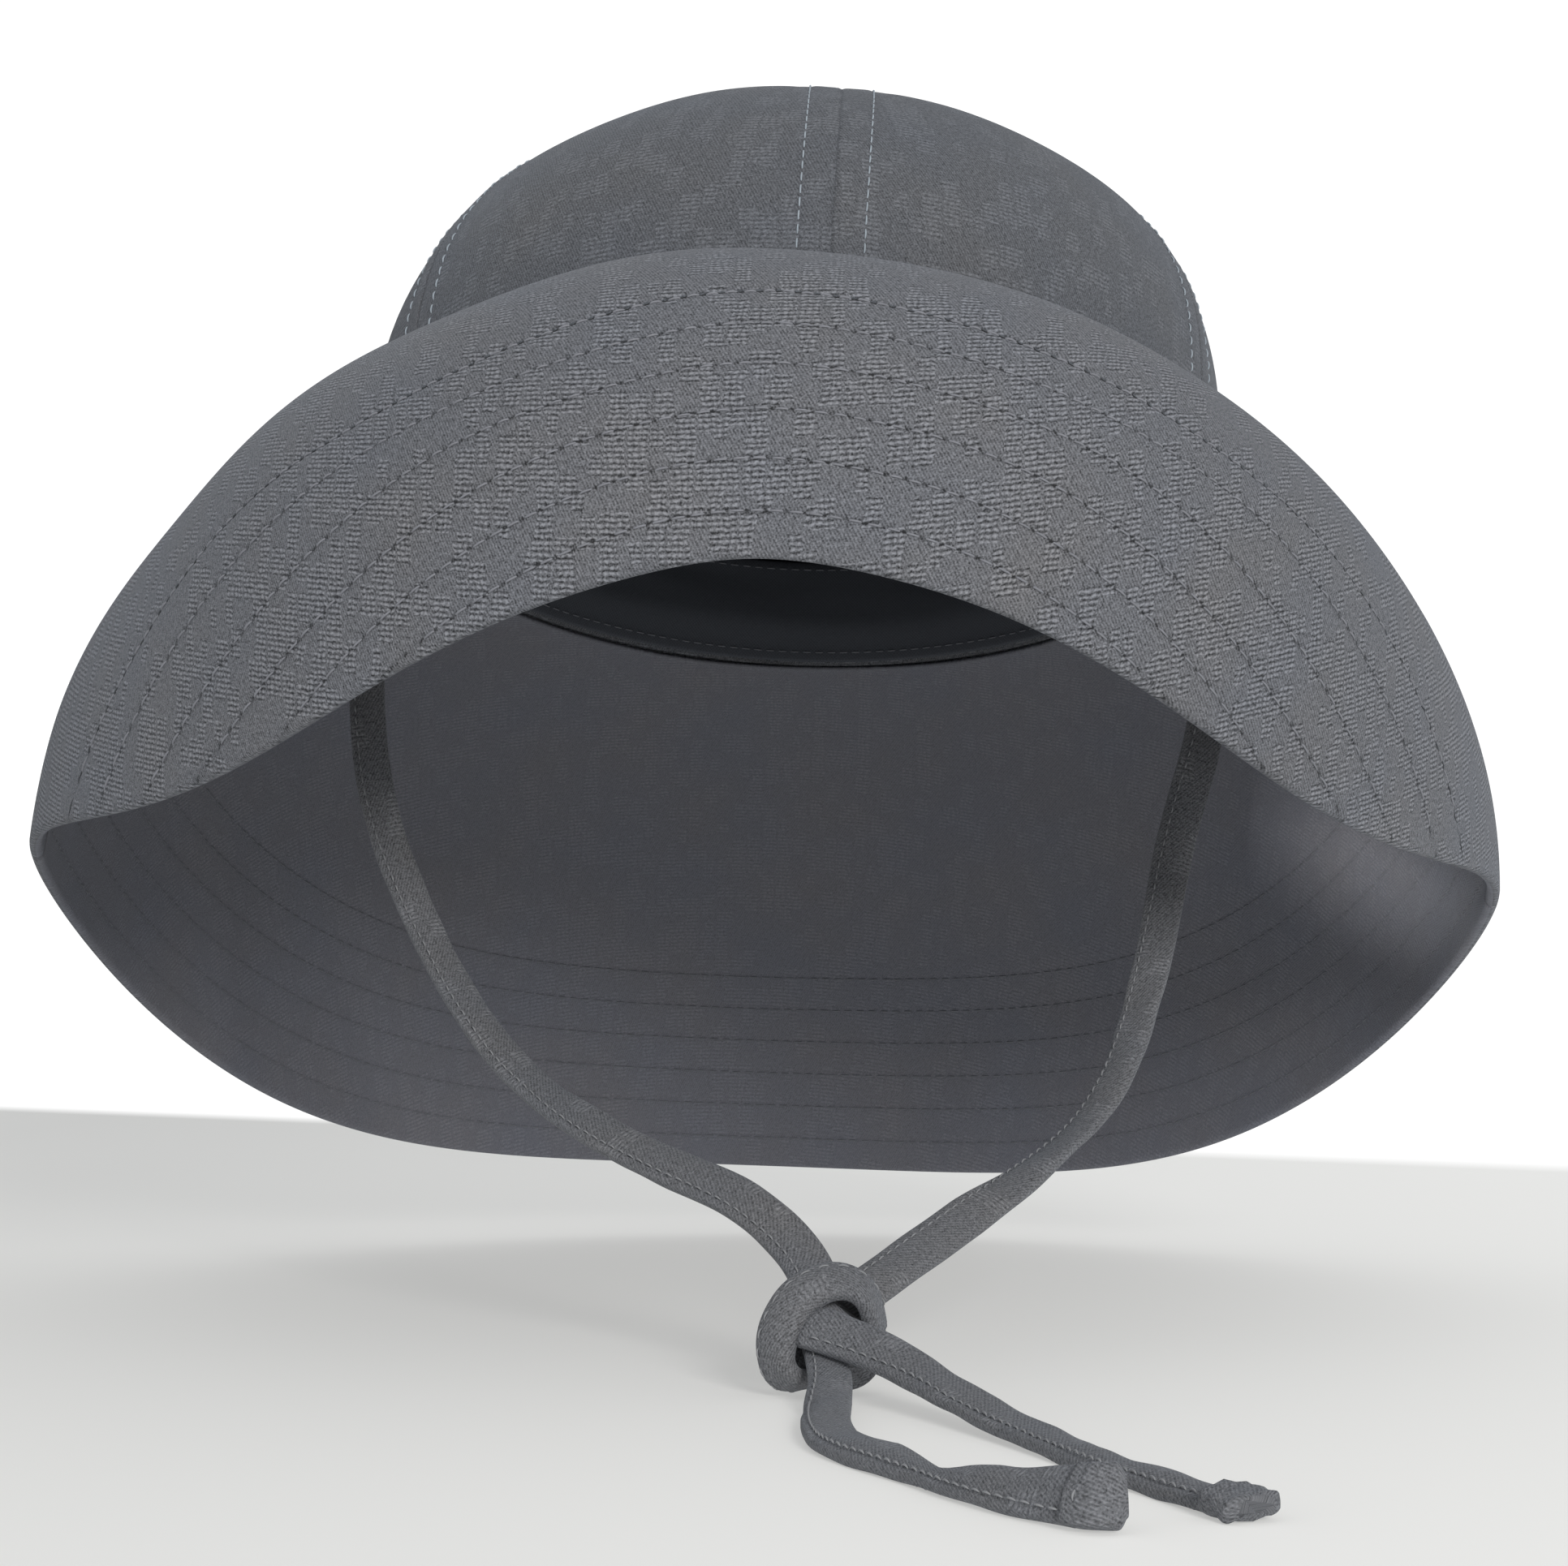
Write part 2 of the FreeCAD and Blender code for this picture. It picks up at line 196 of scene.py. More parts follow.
def stitch_rows(name, rows, pitch, radius, rise=0.0, fill=0.8):
    """Running stitches along rows. Each row is (points, normals, lengths along them), in mm.

    rise lifts the thread, and fill is a stitch's share of the pitch."""
    sides, rings = 6, len(STITCH_RISE)
    turn = np.linspace(0, 2 * math.pi, sides, endpoint=False)
    ring = list(range(sides))
    shell = [(here + side, here + (side + 1) % sides,
              here + sides + (side + 1) % sides, here + sides + side)
             for here in range(0, (rings - 1) * sides, sides) for side in ring]
    shell += [ring[::-1], [(rings - 1) * sides + side for side in ring]]
    points, faces = [], []
    count = 0
    for line, normals, lengths in rows:
        first = math.ceil(lengths[0] / pitch + 0.05)
        last = math.floor(lengths[-1] / pitch - 0.05)
        if last <= first:
            continue
        starts = np.arange(first, last) * pitch
        share = 0.5 + fill * (np.linspace(0, 1, rings) - 0.5)
        places = (starts[:, None] + pitch * share[None, :]).ravel()
        centre = read_line(places, lengths, line)
        up = unit(read_line(places, lengths, normals))
        across = np.cross(unit(read_line(places + 0.3, lengths, line) - centre), up)
        heights = np.tile(STITCH_RISE * radius, len(starts)) + rise
        centre = centre + up * heights[:, None]
        size = np.tile(STITCH_GIRTH * radius, len(starts))
        spokes = (np.cos(turn)[None, :, None] * across[:, None, :]
                  + np.sin(turn)[None, :, None] * up[:, None, :])
        points.append((centre[:, None, :] + size[:, None, None] * spokes).reshape(-1, 3))
        for _ in starts:
            faces += [[count + corner for corner in face] for face in shell]
            count += rings * sides
    return make_object(name, np.concatenate(points), faces)


# ---- brim surface


def around_head(parts, azimuth):
    mean, fore_aft, sides, three, four, right = parts
    return (mean + fore_aft * np.cos(azimuth) + sides * np.cos(2 * azimuth)
            + three * np.cos(3 * azimuth) + four * np.cos(4 * azimuth)
            + right * np.sin(azimuth))


def brim_width(azimuth):
    """Width of the brim, a little less where its front edge is lifted."""
    lift = FRONT_LIFT * gauss(np.degrees(azimuth) - LIFT_PLACE, LIFT_SPREAD)
    return around_head(BRIM_WIDTH, azimuth) - lift


def brim_billow(azimuth, from_edge):
    """Height in mm of the drape's own soft folds, the same for every layer of the brim."""
    waves = ripple(np.degrees(azimuth), 0.5 * from_edge, 46.0, 3)
    return 0.5 * waves * ease(from_edge, -5.0, 30.0)


def brim_point(azimuth, from_edge, inset):
    """Points of the brim in the object's frame, inset below its upper surface.

    azimuth has one value per row of the grid, from_edge and inset one per point."""
    steps = 300
    width = brim_width(azimuth)
    root = around_head(ROOT_SLOPE, azimuth)[:, None]
    edge = around_head(EDGE_SLOPE, azimuth)[:, None]
    share = np.linspace(0, 1, steps + 1)[None, :]
    slope = root + (edge - root) * share ** SLOPE_GROWTH
    run = width[:, None] / steps
    middle = 0.5 * (slope[:, 1:] + slope[:, :-1])
    draped = np.broadcast_to(share[:, 1:] * width[:, None] > BRIM_ROOT, middle.shape)

    def total(sloped, flat):
        return np.pad(np.cumsum(run * np.where(draped, sloped, flat), axis=1), ((0, 0), (1, 0)))

    outward, height = total(np.cos(middle), 1.0), total(-np.sin(middle), 0.0)
    place = np.clip((width[:, None] - from_edge) / width[:, None], 0.0, 1.0) * steps
    low = np.minimum(place.astype(int), steps - 1)
    part = place - low
    rows = np.arange(len(azimuth))[:, None]

    def read(table):
        return table[rows, low] * (1 - part) + table[rows, low + 1] * part

    out, rise, tilt = read(outward), read(height), read(slope)
    depth = inset - brim_billow(azimuth[:, None], from_edge)
    normal = unit(np.stack(
        [np.sin(azimuth) / HALF_WIDTH, -np.cos(azimuth) / HALF_LENGTH], axis=1))
    below = out - depth * np.sin(tilt)
    x = (HALF_WIDTH * np.sin(azimuth))[:, None] + normal[:, 0, None] * below
    y = (-HALF_LENGTH * np.cos(azimuth))[:, None] + normal[:, 1, None] * below
    return leaned(np.stack([x, y, rise - depth * np.cos(tilt)], axis=-1))


def surface_normals(grid):
    """Unit normals of a grid of points, on the side that grid_faces turns outward."""
    across = np.gradient(grid, axis=1)
    along = np.gradient(grid, axis=0)
    return unit(np.cross(across, along))


def row_run_off(nominal, degrees):
    """How much nearer the edge a row of the front half comes towards the side seams, in mm."""
    past = np.maximum(np.abs(degrees) - 7.0 - 30.0 * ease(nominal, 20.0, 52.0), 0.0)
    return (0.016 + 0.034 * ease(nominal, 25.0, 52.0)) * past * past


def nominal_distance(azimuth, from_edge, front):
    """Distance from the edge, at the middle of the half, of the row through each point."""
    if not front:
        return from_edge
    nominal = np.arange(-6.0, 140.0, 0.5)
    return np.stack([
        np.interp(line, nominal - row_run_off(nominal, math.degrees(here)), nominal)
        for here, line in zip(azimuth, from_edge)])


def quilting(from_edge, nominal, along):
    """How deep the cloth is drawn in by the rows of stitching."""
    phase = (nominal - FIRST_ROW) / ROW_PITCH
    away = (phase - np.round(phase)) * ROW_PITCH
    inside = ease(from_edge, 2.5, 5.0) * (phase > -0.5) * (phase < ROWS - 0.5)
    pull = 0.30 + 0.10 * ripple(along, from_edge, 9.0, 11) + 0.16 * ease(phase, 4.4, 4.6)
    return inside * pull * gauss(away, 1.15) - 0.10


# ---- materials

# the weave, in mm
RIB_PITCH, WARP_PITCH, TWILL_PITCH = 0.98, 1.05, 0.55
TWILL_SLANT = (0.88, 0.47)  # across and down
LARGE_BLOCK, SMALL_BLOCK = (3.9, 5.3), (2.6, 3.7)
BLOCK_GAP = 0.16  # of a block's width, between it and the next
HOLE, FURROW = 0.50, 0.32  # reach of a needle hole along its row, and of the row across it
COOL, WARM = (0.93, 0.98, 1.06), (1.06, 1.02, 0.97)


class Nodes:
    """A short way to write a node tree."""

    def __init__(self, tree):
        self.tree = tree
        self.tree.nodes.clear()

    def add(self, kind, inputs=None, **values):
        """A new node, with the inputs of these names or numbers linked or set."""
        node = self.tree.nodes.new(kind)
        for name, value in values.items():
            setattr(node, name, value)
        for key, value in (inputs or {}).items():
            if isinstance(value, bpy.types.NodeSocket):
                self.tree.links.new(value, node.inputs[key])
            else:
                node.inputs[key].default_value = value
        return node

    def math(self, operation, *values):
        return self.add("ShaderNodeMath", dict(enumerate(values)), operation=operation).outputs[0]

    def plus(self, first, second):
        return self.math("ADD", first, second)

    def times(self, first, second):
        return self.math("MULTIPLY", first, second)

    def scaled(self, value, size, shift):
        return self.math("MULTIPLY_ADD", value, size, shift)

    def stray(self, value, noise, size):
        """A value moved to and fro by noise, up to half of size each way."""
        return self.scaled(self.math("SUBTRACT", noise, 0.5), size, value)

    def wave(self, value, pitch, swing=0.5, middle=0.5):
        turn = self.times(value, 2 * math.pi / pitch)
        return self.scaled(self.math("COSINE", turn), swing, middle)

    def mix(self, factor, first, second):
        inputs = {0: factor, 6: first, 7: second}
        return self.add("ShaderNodeMix", inputs, data_type="RGBA").outputs[2]

    def noise(self, vector, scale, detail=2.0):
        inputs = {"Vector": vector, "Scale": scale, "Detail": detail}
        return self.add("ShaderNodeTexNoise", inputs).outputs["Fac"]

    def chance(self, x, y):
        """A random number from 0 to 1 for each whole x and y."""
        inputs = {"Vector": self.add("ShaderNodeCombineXYZ", {0: x, 1: y}).outputs[0]}
        node = self.add("ShaderNodeTexWhiteNoise", inputs, noise_dimensions="2D")
        return node.outputs["Value"]

    def place(self):
        """A place on the object itself, in metres."""
        return self.add("ShaderNodeTexCoord").outputs["Object"]

    def parts(self, vector):
        return tuple(self.add("ShaderNodeSeparateXYZ", {0: vector}).outputs)

    def uv(self, layer):
        """A UV layer, as a vector and as its two values."""
        vector = self.add("ShaderNodeUVMap", uv_map=layer).outputs[0]
        return (vector, *self.parts(vector)[:2])


def tinted(colour, shift):
    """A colour, with alpha, scaled by one number or by one for each channel."""
    return (*(np.array(colour) * shift).tolist(), 1.0)


def new_material(name):
    material = bpy.data.materials.new(name)
    material.use_nodes = True
    return material, Nodes(material.node_tree)


def finish_cloth(nodes, colour, height, bump, roughness, sheen):
    """The shader all cloths share. bump is the depth of its relief, in mm."""
    relief = nodes.add("ShaderNodeBump", {
        "Strength": 1.0, "Distance": bump * MM, "Height": height})
    shader = nodes.add("ShaderNodeBsdfPrincipled", {
        "Base Color": colour, "Roughness": roughness, "Specular IOR Level": 0.18,
        "Sheen Weight": sheen, "Sheen Roughness": 0.45, "Sheen Tint": (0.80, 0.88, 1.0, 1.0),
        "Normal": relief.outputs[0]})
    nodes.add("ShaderNodeOutputMaterial", {"Surface": shader.outputs[0]})


def dobby_cloth(name, colour, patch_share, patch_depth, stitched=0.0, contrast=1.0):
    """Twill ground with small blocks of raised ribs. The UV layer "cloth" is in millimetres."""
    material, nodes = new_material(name)
    cloth, u, v = nodes.uv("cloth")
    across = nodes.stray(u, nodes.noise(cloth, 0.22), 3.0)
    down = nodes.stray(v, nodes.noise(cloth, 0.9), 0.9)

    def blocks(size, share, seed):
        width, height = size
        column = nodes.math("FLOOR", nodes.math("DIVIDE", across, width))
        shift = nodes.times(nodes.chance(column, seed), height * 3)
        row = nodes.math("FLOOR", nodes.math("DIVIDE", nodes.plus(down, shift), height))
        chance = nodes.chance(nodes.plus(column, seed), row)
        within = nodes.math("FRACT", nodes.math("DIVIDE", across, width))
        return nodes.times(nodes.math("LESS_THAN", chance, share),
                           nodes.math("GREATER_THAN", within, BLOCK_GAP))

    mask = nodes.math("MAXIMUM", blocks(LARGE_BLOCK, patch_share, 3.0),
                      blocks(SMALL_BLOCK, patch_share * 0.5, 17.0))
    # ribs lie across, about one per millimetre, crossed by the warp
    ribs = nodes.times(nodes.wave(down, RIB_PITCH), nodes.wave(across, WARP_PITCH, 0.26, 0.74))
    slant = nodes.plus(nodes.times(u, TWILL_SLANT[0]), nodes.times(v, TWILL_SLANT[1]))
    fuzz = nodes.noise(cloth, 3.1, 3.0)
    slub = nodes.noise(cloth, 1.25)
    ground = nodes.scaled(nodes.wave(slant, TWILL_PITCH), 0.22, 0.33)
    raised = nodes.scaled(ribs, patch_depth, 0.56 - 0.45 * patch_depth)
    choice = nodes.add("ShaderNodeMix", {0: mask, 2: ground, 3: raised}, data_type="FLOAT")
    # shade carries the yarns' own uneven tone and the blocks' pattern, and, from the weave's
    # height, painted shade in the hollows between ribs and painted highlight on the raised ribs
    shade = height = nodes.stray(nodes.stray(choice.outputs[0], fuzz, 1.35), slub, 0.8)
    if stitched:
        _, stitch, row = nodes.uv("rows")

        def away(value, size):
            """Square of the distance to the nearest whole value."""
            near = nodes.math("SUBTRACT", value, nodes.math("ROUND", value))
            return nodes.math("POWER", nodes.times(nodes.math("ABSOLUTE", near), size), 2.0)

        hole, line = away(stitch, STITCH / HOLE), away(row, ROW_PITCH / FURROW)
        needle = nodes.math("EXPONENT", nodes.times(nodes.plus(hole, line), -1.0))
        furrow = nodes.math("EXPONENT", nodes.times(line, -0.35))
        inside = nodes.times(nodes.math("GREATER_THAN", row, -0.5),
                             nodes.math("LESS_THAN", row, ROWS - 0.5))
        # the row nearest the head is drawn tighter: its needle holes are dented deepest and get
        # the darkest painted shade
        tightest = nodes.math("GREATER_THAN", row, ROWS - 1.5)
        pull = nodes.times(inside, nodes.scaled(tightest, 1.35 * stitched, 0.34 * stitched))
        dent = nodes.times(needle, pull)
        # painted shade: the needle holes and the furrows along the stitched rows are darkened
        shade = nodes.math("SUBTRACT", shade, nodes.times(dent, 0.9))
        shade = nodes.math("SUBTRACT", shade, nodes.times(nodes.times(furrow, inside), 0.07))
        height = nodes.math("SUBTRACT", height, nodes.times(dent, 2.0))
    # the colour is lightened and darkened with shade, so it carries that painted shade and painted
    # highlight
    ramp = nodes.add("ShaderNodeMapRange", {
        "Value": shade, "To Min": 1.0 - 0.62 * contrast, "To Max": 1.0 + 0.62 * contrast})
    tone = nodes.mix(nodes.noise(cloth, 0.035, 3.0), tinted(colour, COOL), tinted(colour, WARM))
    lit = nodes.add("ShaderNodeVectorMath", {0: tone, "Scale": ramp.outputs[0]},
                    operation="SCALE")
    finish_cloth(nodes, lit.outputs[0], height, 0.16, nodes.scaled(fuzz, 0.15, 0.78), 0.12)
    return material


def plain_cloth(name, colour, pitch, contrast=0.3):
    """A plain weave: warp and weft over and under, with uneven yarns."""
    material, nodes = new_material(name)
    cloth, *across_and_down = nodes.uv("cloth")
    warp, weft = [nodes.math("SINE", nodes.times(value, 2 * math.pi / pitch))
                  for value in across_and_down]
    weave = nodes.scaled(nodes.times(warp, weft), 0.3, 0.5)
    fuzz = nodes.noise(cloth, 1.7, 3.0)
    height = nodes.plus(weave, nodes.times(fuzz, 1.4 * contrast + 0.1))
    tone = nodes.mix(nodes.scaled(height, 0.9, -0.15),
                     tinted(colour, 1 - contrast), tinted(colour, 1 + contrast))
    finish_cloth(nodes, tone, height, 0.05 + 0.18 * contrast, 0.85, 0.08)
    return material


def thread_material(name, colour):
    """Twisted sewing thread."""
    material, nodes = new_material(name)
    place = nodes.place()
    noise = nodes.noise(place, 2600.0)
    patchy = nodes.noise(place, 160.0, 1.0)
    tone = nodes.mix(nodes.scaled(patchy, 0.6, nodes.times(noise, 0.4)),
                     tinted(colour, 0.6), tinted(colour, 1.25))
    finish_cloth(nodes, tone, noise, 0.05, 0.6, 0.1)
    return material


BRIM_CLOTH = dobby_cloth("brim_cloth", (0.122, 0.125, 0.135), 0.46, 0.84, stitched=1.0,
                         contrast=1.4)
# the under cloth's colour is set a little lighter than the top's: painted light on the shaded
# underside of the brim
UNDER_CLOTH = dobby_cloth("under_cloth", (0.128, 0.130, 0.147), 0.42, 0.5, stitched=0.15,
                          contrast=0.5)
CROWN_CLOTH = dobby_cloth("crown_cloth", (0.095, 0.099, 0.108), 0.30, 0.45, contrast=1.25)
TIE_CLOTH = dobby_cloth("tie_cloth", (0.132, 0.134, 0.141), 0.10, 0.45, contrast=1.25)
LINING_CLOTH = plain_cloth("lining_cloth", (0.030, 0.033, 0.039), 0.6)
BAND_CLOTH = plain_cloth("band_cloth", (0.045, 0.049, 0.058), 0.8)
FELT = plain_cloth("interfacing_felt", (0.5, 0.5, 0.48), 1.4)
THREAD_MATCHED = thread_material("thread_matched", (0.125, 0.130, 0.145))
THREAD_BRIM = thread_material("thread_brim", (0.185, 0.19, 0.21))
THREAD_TIE = thread_material("thread_tie", (0.215, 0.22, 0.23))
THREAD_PALE = thread_material("thread_pale", (0.30, 0.34, 0.38))


def dress(thing, material, slot, body="hat", node=None):
    """Gives a piece its material and its body, and hides the CAD node that it stands for, if any.
    """
    if node:
        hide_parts(node)
    thing.data.materials.append(material)
    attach(thing, body)
    return thing


# ---- brim pieces

EDGE_ROUND = BRIM_THICKNESS / 2
FLAT_TURN = 0.8  # turn of the flat-cut ring for each turn round the head
FLAT_RADIUS = 121.0  # of the seam in the flat-cut ring
LEVEL_FALL = 0.84  # how steeply the brim falls along the cloth, so that the ribs stay level


def brim_lines(azimuth):
    """Distances from the edge of the lines of a brim grid, one row for each azimuth."""
    rolled = EDGE_ROUND * (1 - np.cos(np.linspace(0, math.pi / 2, 6)))
    spacing = ROW_PITCH / 8
    even = FIRST_ROW - 5 * spacing + spacing * np.arange(84)
    fixed = np.concatenate([rolled, even])
    width = brim_width(azimuth)
    inner = fixed[-1] + (width[:, None] - fixed[-1]) * np.linspace(0, 1, 47)[None, 1:]
    return np.concatenate([np.broadcast_to(fixed, (len(azimuth), len(fixed))), inner], axis=1)


def edge_inset(from_edge):
    """Inset of the brim's face where it rolls over its edge."""
    into = np.clip((EDGE_ROUND - from_edge) / EDGE_ROUND, 0.0, 1.0)
    return EDGE_ROUND * (1 - np.sqrt(1 - into * into))


def cloth_uv(azimuth, from_edge, along, centre, front):
    """Place on the cloth, in mm, of half of the brim. On the front half the ribs stay level."""
    if front:
        edge = leaned(brim_point(azimuth, np.zeros((len(azimuth), 1)), 0.0))[..., 2]
        return np.stack([along, from_edge + (edge - edge.max()) / LEVEL_FALL], axis=-1)
    turn = FLAT_TURN * (azimuth[:, None] - centre)
    radius = FLAT_RADIUS + brim_width(azimuth)[:, None] - from_edge
    return np.stack([radius * np.sin(turn), -radius * np.cos(turn)], axis=-1)


BRIM_HALVES = {"front": (-math.pi / 2, math.pi / 2), "back": (math.pi / 2, 3 * math.pi / 2)}
LINE_STEP, STEP_RADIUS = 2.4, 150.0  # between the grid's lines, at this distance from the middle
HALF_GAP = 0.0006  # from each side seam to the half's edge, in radians
PUCKER_PLACE, PUCKER_SPREAD = 88.0, 20.0  # of the drawn-up cloth at the right, in degrees
brim_stitch_rows = {}


def build_brim_half(half, first, last):
    columns = int((last - first) * STEP_RADIUS / LINE_STEP) + 1
    azimuth = np.linspace(first + HALF_GAP, last - HALF_GAP, columns)
    from_edge = brim_lines(azimuth)
    front = half == "front"
    along = lengths_along(brim_point(azimuth, from_edge, np.zeros_like(from_edge)))
    along -= along[columns // 2]
    uv = cloth_uv(azimuth, from_edge, along, 0.5 * (first + last), front)
    nominal = nominal_distance(azimuth, from_edge, front)
    row_uv = np.stack([along / STITCH, (nominal - FIRST_ROW) / ROW_PITCH], axis=-1)
    dip = quilting(from_edge, nominal, along) * (from_edge > EDGE_ROUND)
    roll = edge_inset(from_edge)
    degrees = np.degrees(azimuth)[:, None]
    drawn = (gauss(degrees - PUCKER_PLACE, PUCKER_SPREAD) * ease(from_edge, 2.0, 8.0)
             * (1 - ease(from_edge, 35.0, 70.0)))
    wrinkle = drawn * (0.45 * ripple(degrees, 0.06 * from_edge, 4.2, 131)
                       + 0.35 * ripple(degrees, 0.1 * from_edge, 9.0, 133))
    under_face = BRIM_THICKNESS - np.maximum(roll, 0.3 * dip + 0.8 * drawn + wrinkle)
    layers = {"top": (np.maximum(roll, dip), 1, BRIM_CLOTH, "brim_cloth"),
              "under": (under_face, -1, UNDER_CLOTH, "under_cloth")}
    made = {}
    for layer, (depth, side, material, slot) in layers.items():
        outer = brim_point(azimuth, from_edge, depth)
        limits = (0.0, BRIM_THICKNESS / 2) if side > 0 else (BRIM_THICKNESS / 2, BRIM_THICKNESS)
        inner = brim_point(azimuth, np.maximum(from_edge, 0.6),
                           np.clip(depth + side * CLOTH, *limits))
        # both skins run seam-ward from the edge; the under cloth is seen from below
        order = slice(None) if side > 0 else slice(None, None, -1)
        name = "brim_%s_cloth_%s" % (layer, half)
        thing = closed_sheet(name, outer[order], inner[order], 4,
                             {"cloth": uv[order], "rows": row_uv[order]})
        dress(thing, material, slot, node="brim_%s_%s" % (layer, half))
        made[layer] = outer
    felt_lines = np.maximum(from_edge[::4, ::6], 2.0)
    felt_top, felt_foot = [brim_point(azimuth[::4], felt_lines, np.full_like(felt_lines, depth))
                           for depth in (FELT_TOP, FELT_FOOT)]
    felt = closed_sheet("brim_felt_" + half, felt_top, felt_foot, 1, {"cloth": uv[::4, ::6]})
    dress(felt, FELT, "interfacing", node="brim_interfacing_" + half)
    # running stitches on both faces, at the rows that the cloth is drawn in by
    for layer, outer in made.items():
        side = 1 if layer == "top" else -1
        normals = -surface_normals(outer)
        rows = []
        for row in range(ROWS):
            distance = np.full(columns, FIRST_ROW + row * ROW_PITCH)
            if front:
                distance -= row_run_off(distance, np.degrees(azimuth))
            present = distance > 1.8
            edges = np.flatnonzero(np.diff(np.concatenate([[0], present.astype(int), [0]])))
            for low, high in zip(edges[::2], edges[1::2]):
                picks = range(low, high)
                line, lift = [np.array([read_line(distance[pick], from_edge[pick], table[pick])
                                        for pick in picks]) for table in (outer, normals)]
                reach = np.array([np.interp(distance[pick], from_edge[pick], along[pick])
                                  for pick in picks])
                rows.append((line, side * lift, reach))
        brim_stitch_rows[(layer, half)] = rows


for half, (first, last) in BRIM_HALVES.items():
    build_brim_half(half, first, last)
BRIM_THREADS = {"top": (THREAD_BRIM, "brim_cloth"), "under": (THREAD_MATCHED, "under_cloth")}
for (layer, half), rows in brim_stitch_rows.items():
    thing = stitch_rows("brim_stitches_%s_%s" % (layer, half), rows, STITCH, THREAD)
    dress(thing, *BRIM_THREADS[layer])

# ---- crown

GORE_TURN = 2 * math.pi / len(GORES)
TOPSTITCH = 6.2  # from the seam to each row beside it
LINING_GAP = 0.6  # between the cloth and its lining


def crown_push(azimuth, climb):
    """How far the worn crown bulges or sinks at its two sides, cloth and lining together."""
    height = np.degrees(climb)

    def beside(degrees):
        return gauss((np.degrees(azimuth) - degrees + 180) % 360 - 180, 42.0)

    return (beside(270) * (2.6 * gauss(height - 60, 11) - 2.5 * gauss(height - 27, 16))
            + beside(90) * (0.3 * gauss(height - 45, 13) + 0.5 * gauss(height - 12, 12)))


def crown_slump(azimuth, climb):
    """Soft outward swells and hollows of the crown's cloth, in mm."""
    return 0.45 * ripple(55 * azimuth, 70 * climb, 42.0, 23) * np.sin(2 * climb)


def crown_point(azimuth, climb, inset):
    """Points of the crown in the object's frame. climb is 0 at the seam, a quarter turn on top."""
    plan = np.abs(np.cos(climb)) ** (2 / CROWN_ROUND_SIDE)
    rise = np.sin(climb) ** (2 / CROWN_ROUND_TOP)
    drift = rise * rise
    x = (HALF_WIDTH - inset) * plan * np.sin(azimuth) + CROWN_DRIFT_SIDE * drift
    y = -(HALF_LENGTH - inset) * plan * np.cos(azimuth) + CROWN_DRIFT_BACK * drift
    z = (CROWN_HEIGHT - inset) * rise
    return leaned(np.stack([x, y, z], axis=-1))


def crown_grid(first, last, across_steps, up_steps, inset):
    share = np.linspace(0, 1, across_steps + 1)
    share = 0.45 * share + 0.55 * 0.5 * (1 - np.cos(math.pi * share))
    climb_share = np.linspace(0, 1, up_steps + 1)
    climb = math.pi / 2 * (1 - (1 - climb_share) ** 1.3)
    azimuth, climb = np.broadcast_arrays(first + (last - first) * share[:, None], climb)
    return azimuth, climb, crown_point(azimuth, climb, inset)


def cloth_coordinates(grid):
    """Millimetres across and up a gore, from its middle line."""
    middle = grid.shape[0] // 2
    up = lengths_along(grid[middle])
    across = lengths_along(grid)
    across = across - across[middle]
    return np.stack([across, np.broadcast_to(up, across.shape)], axis=-1)


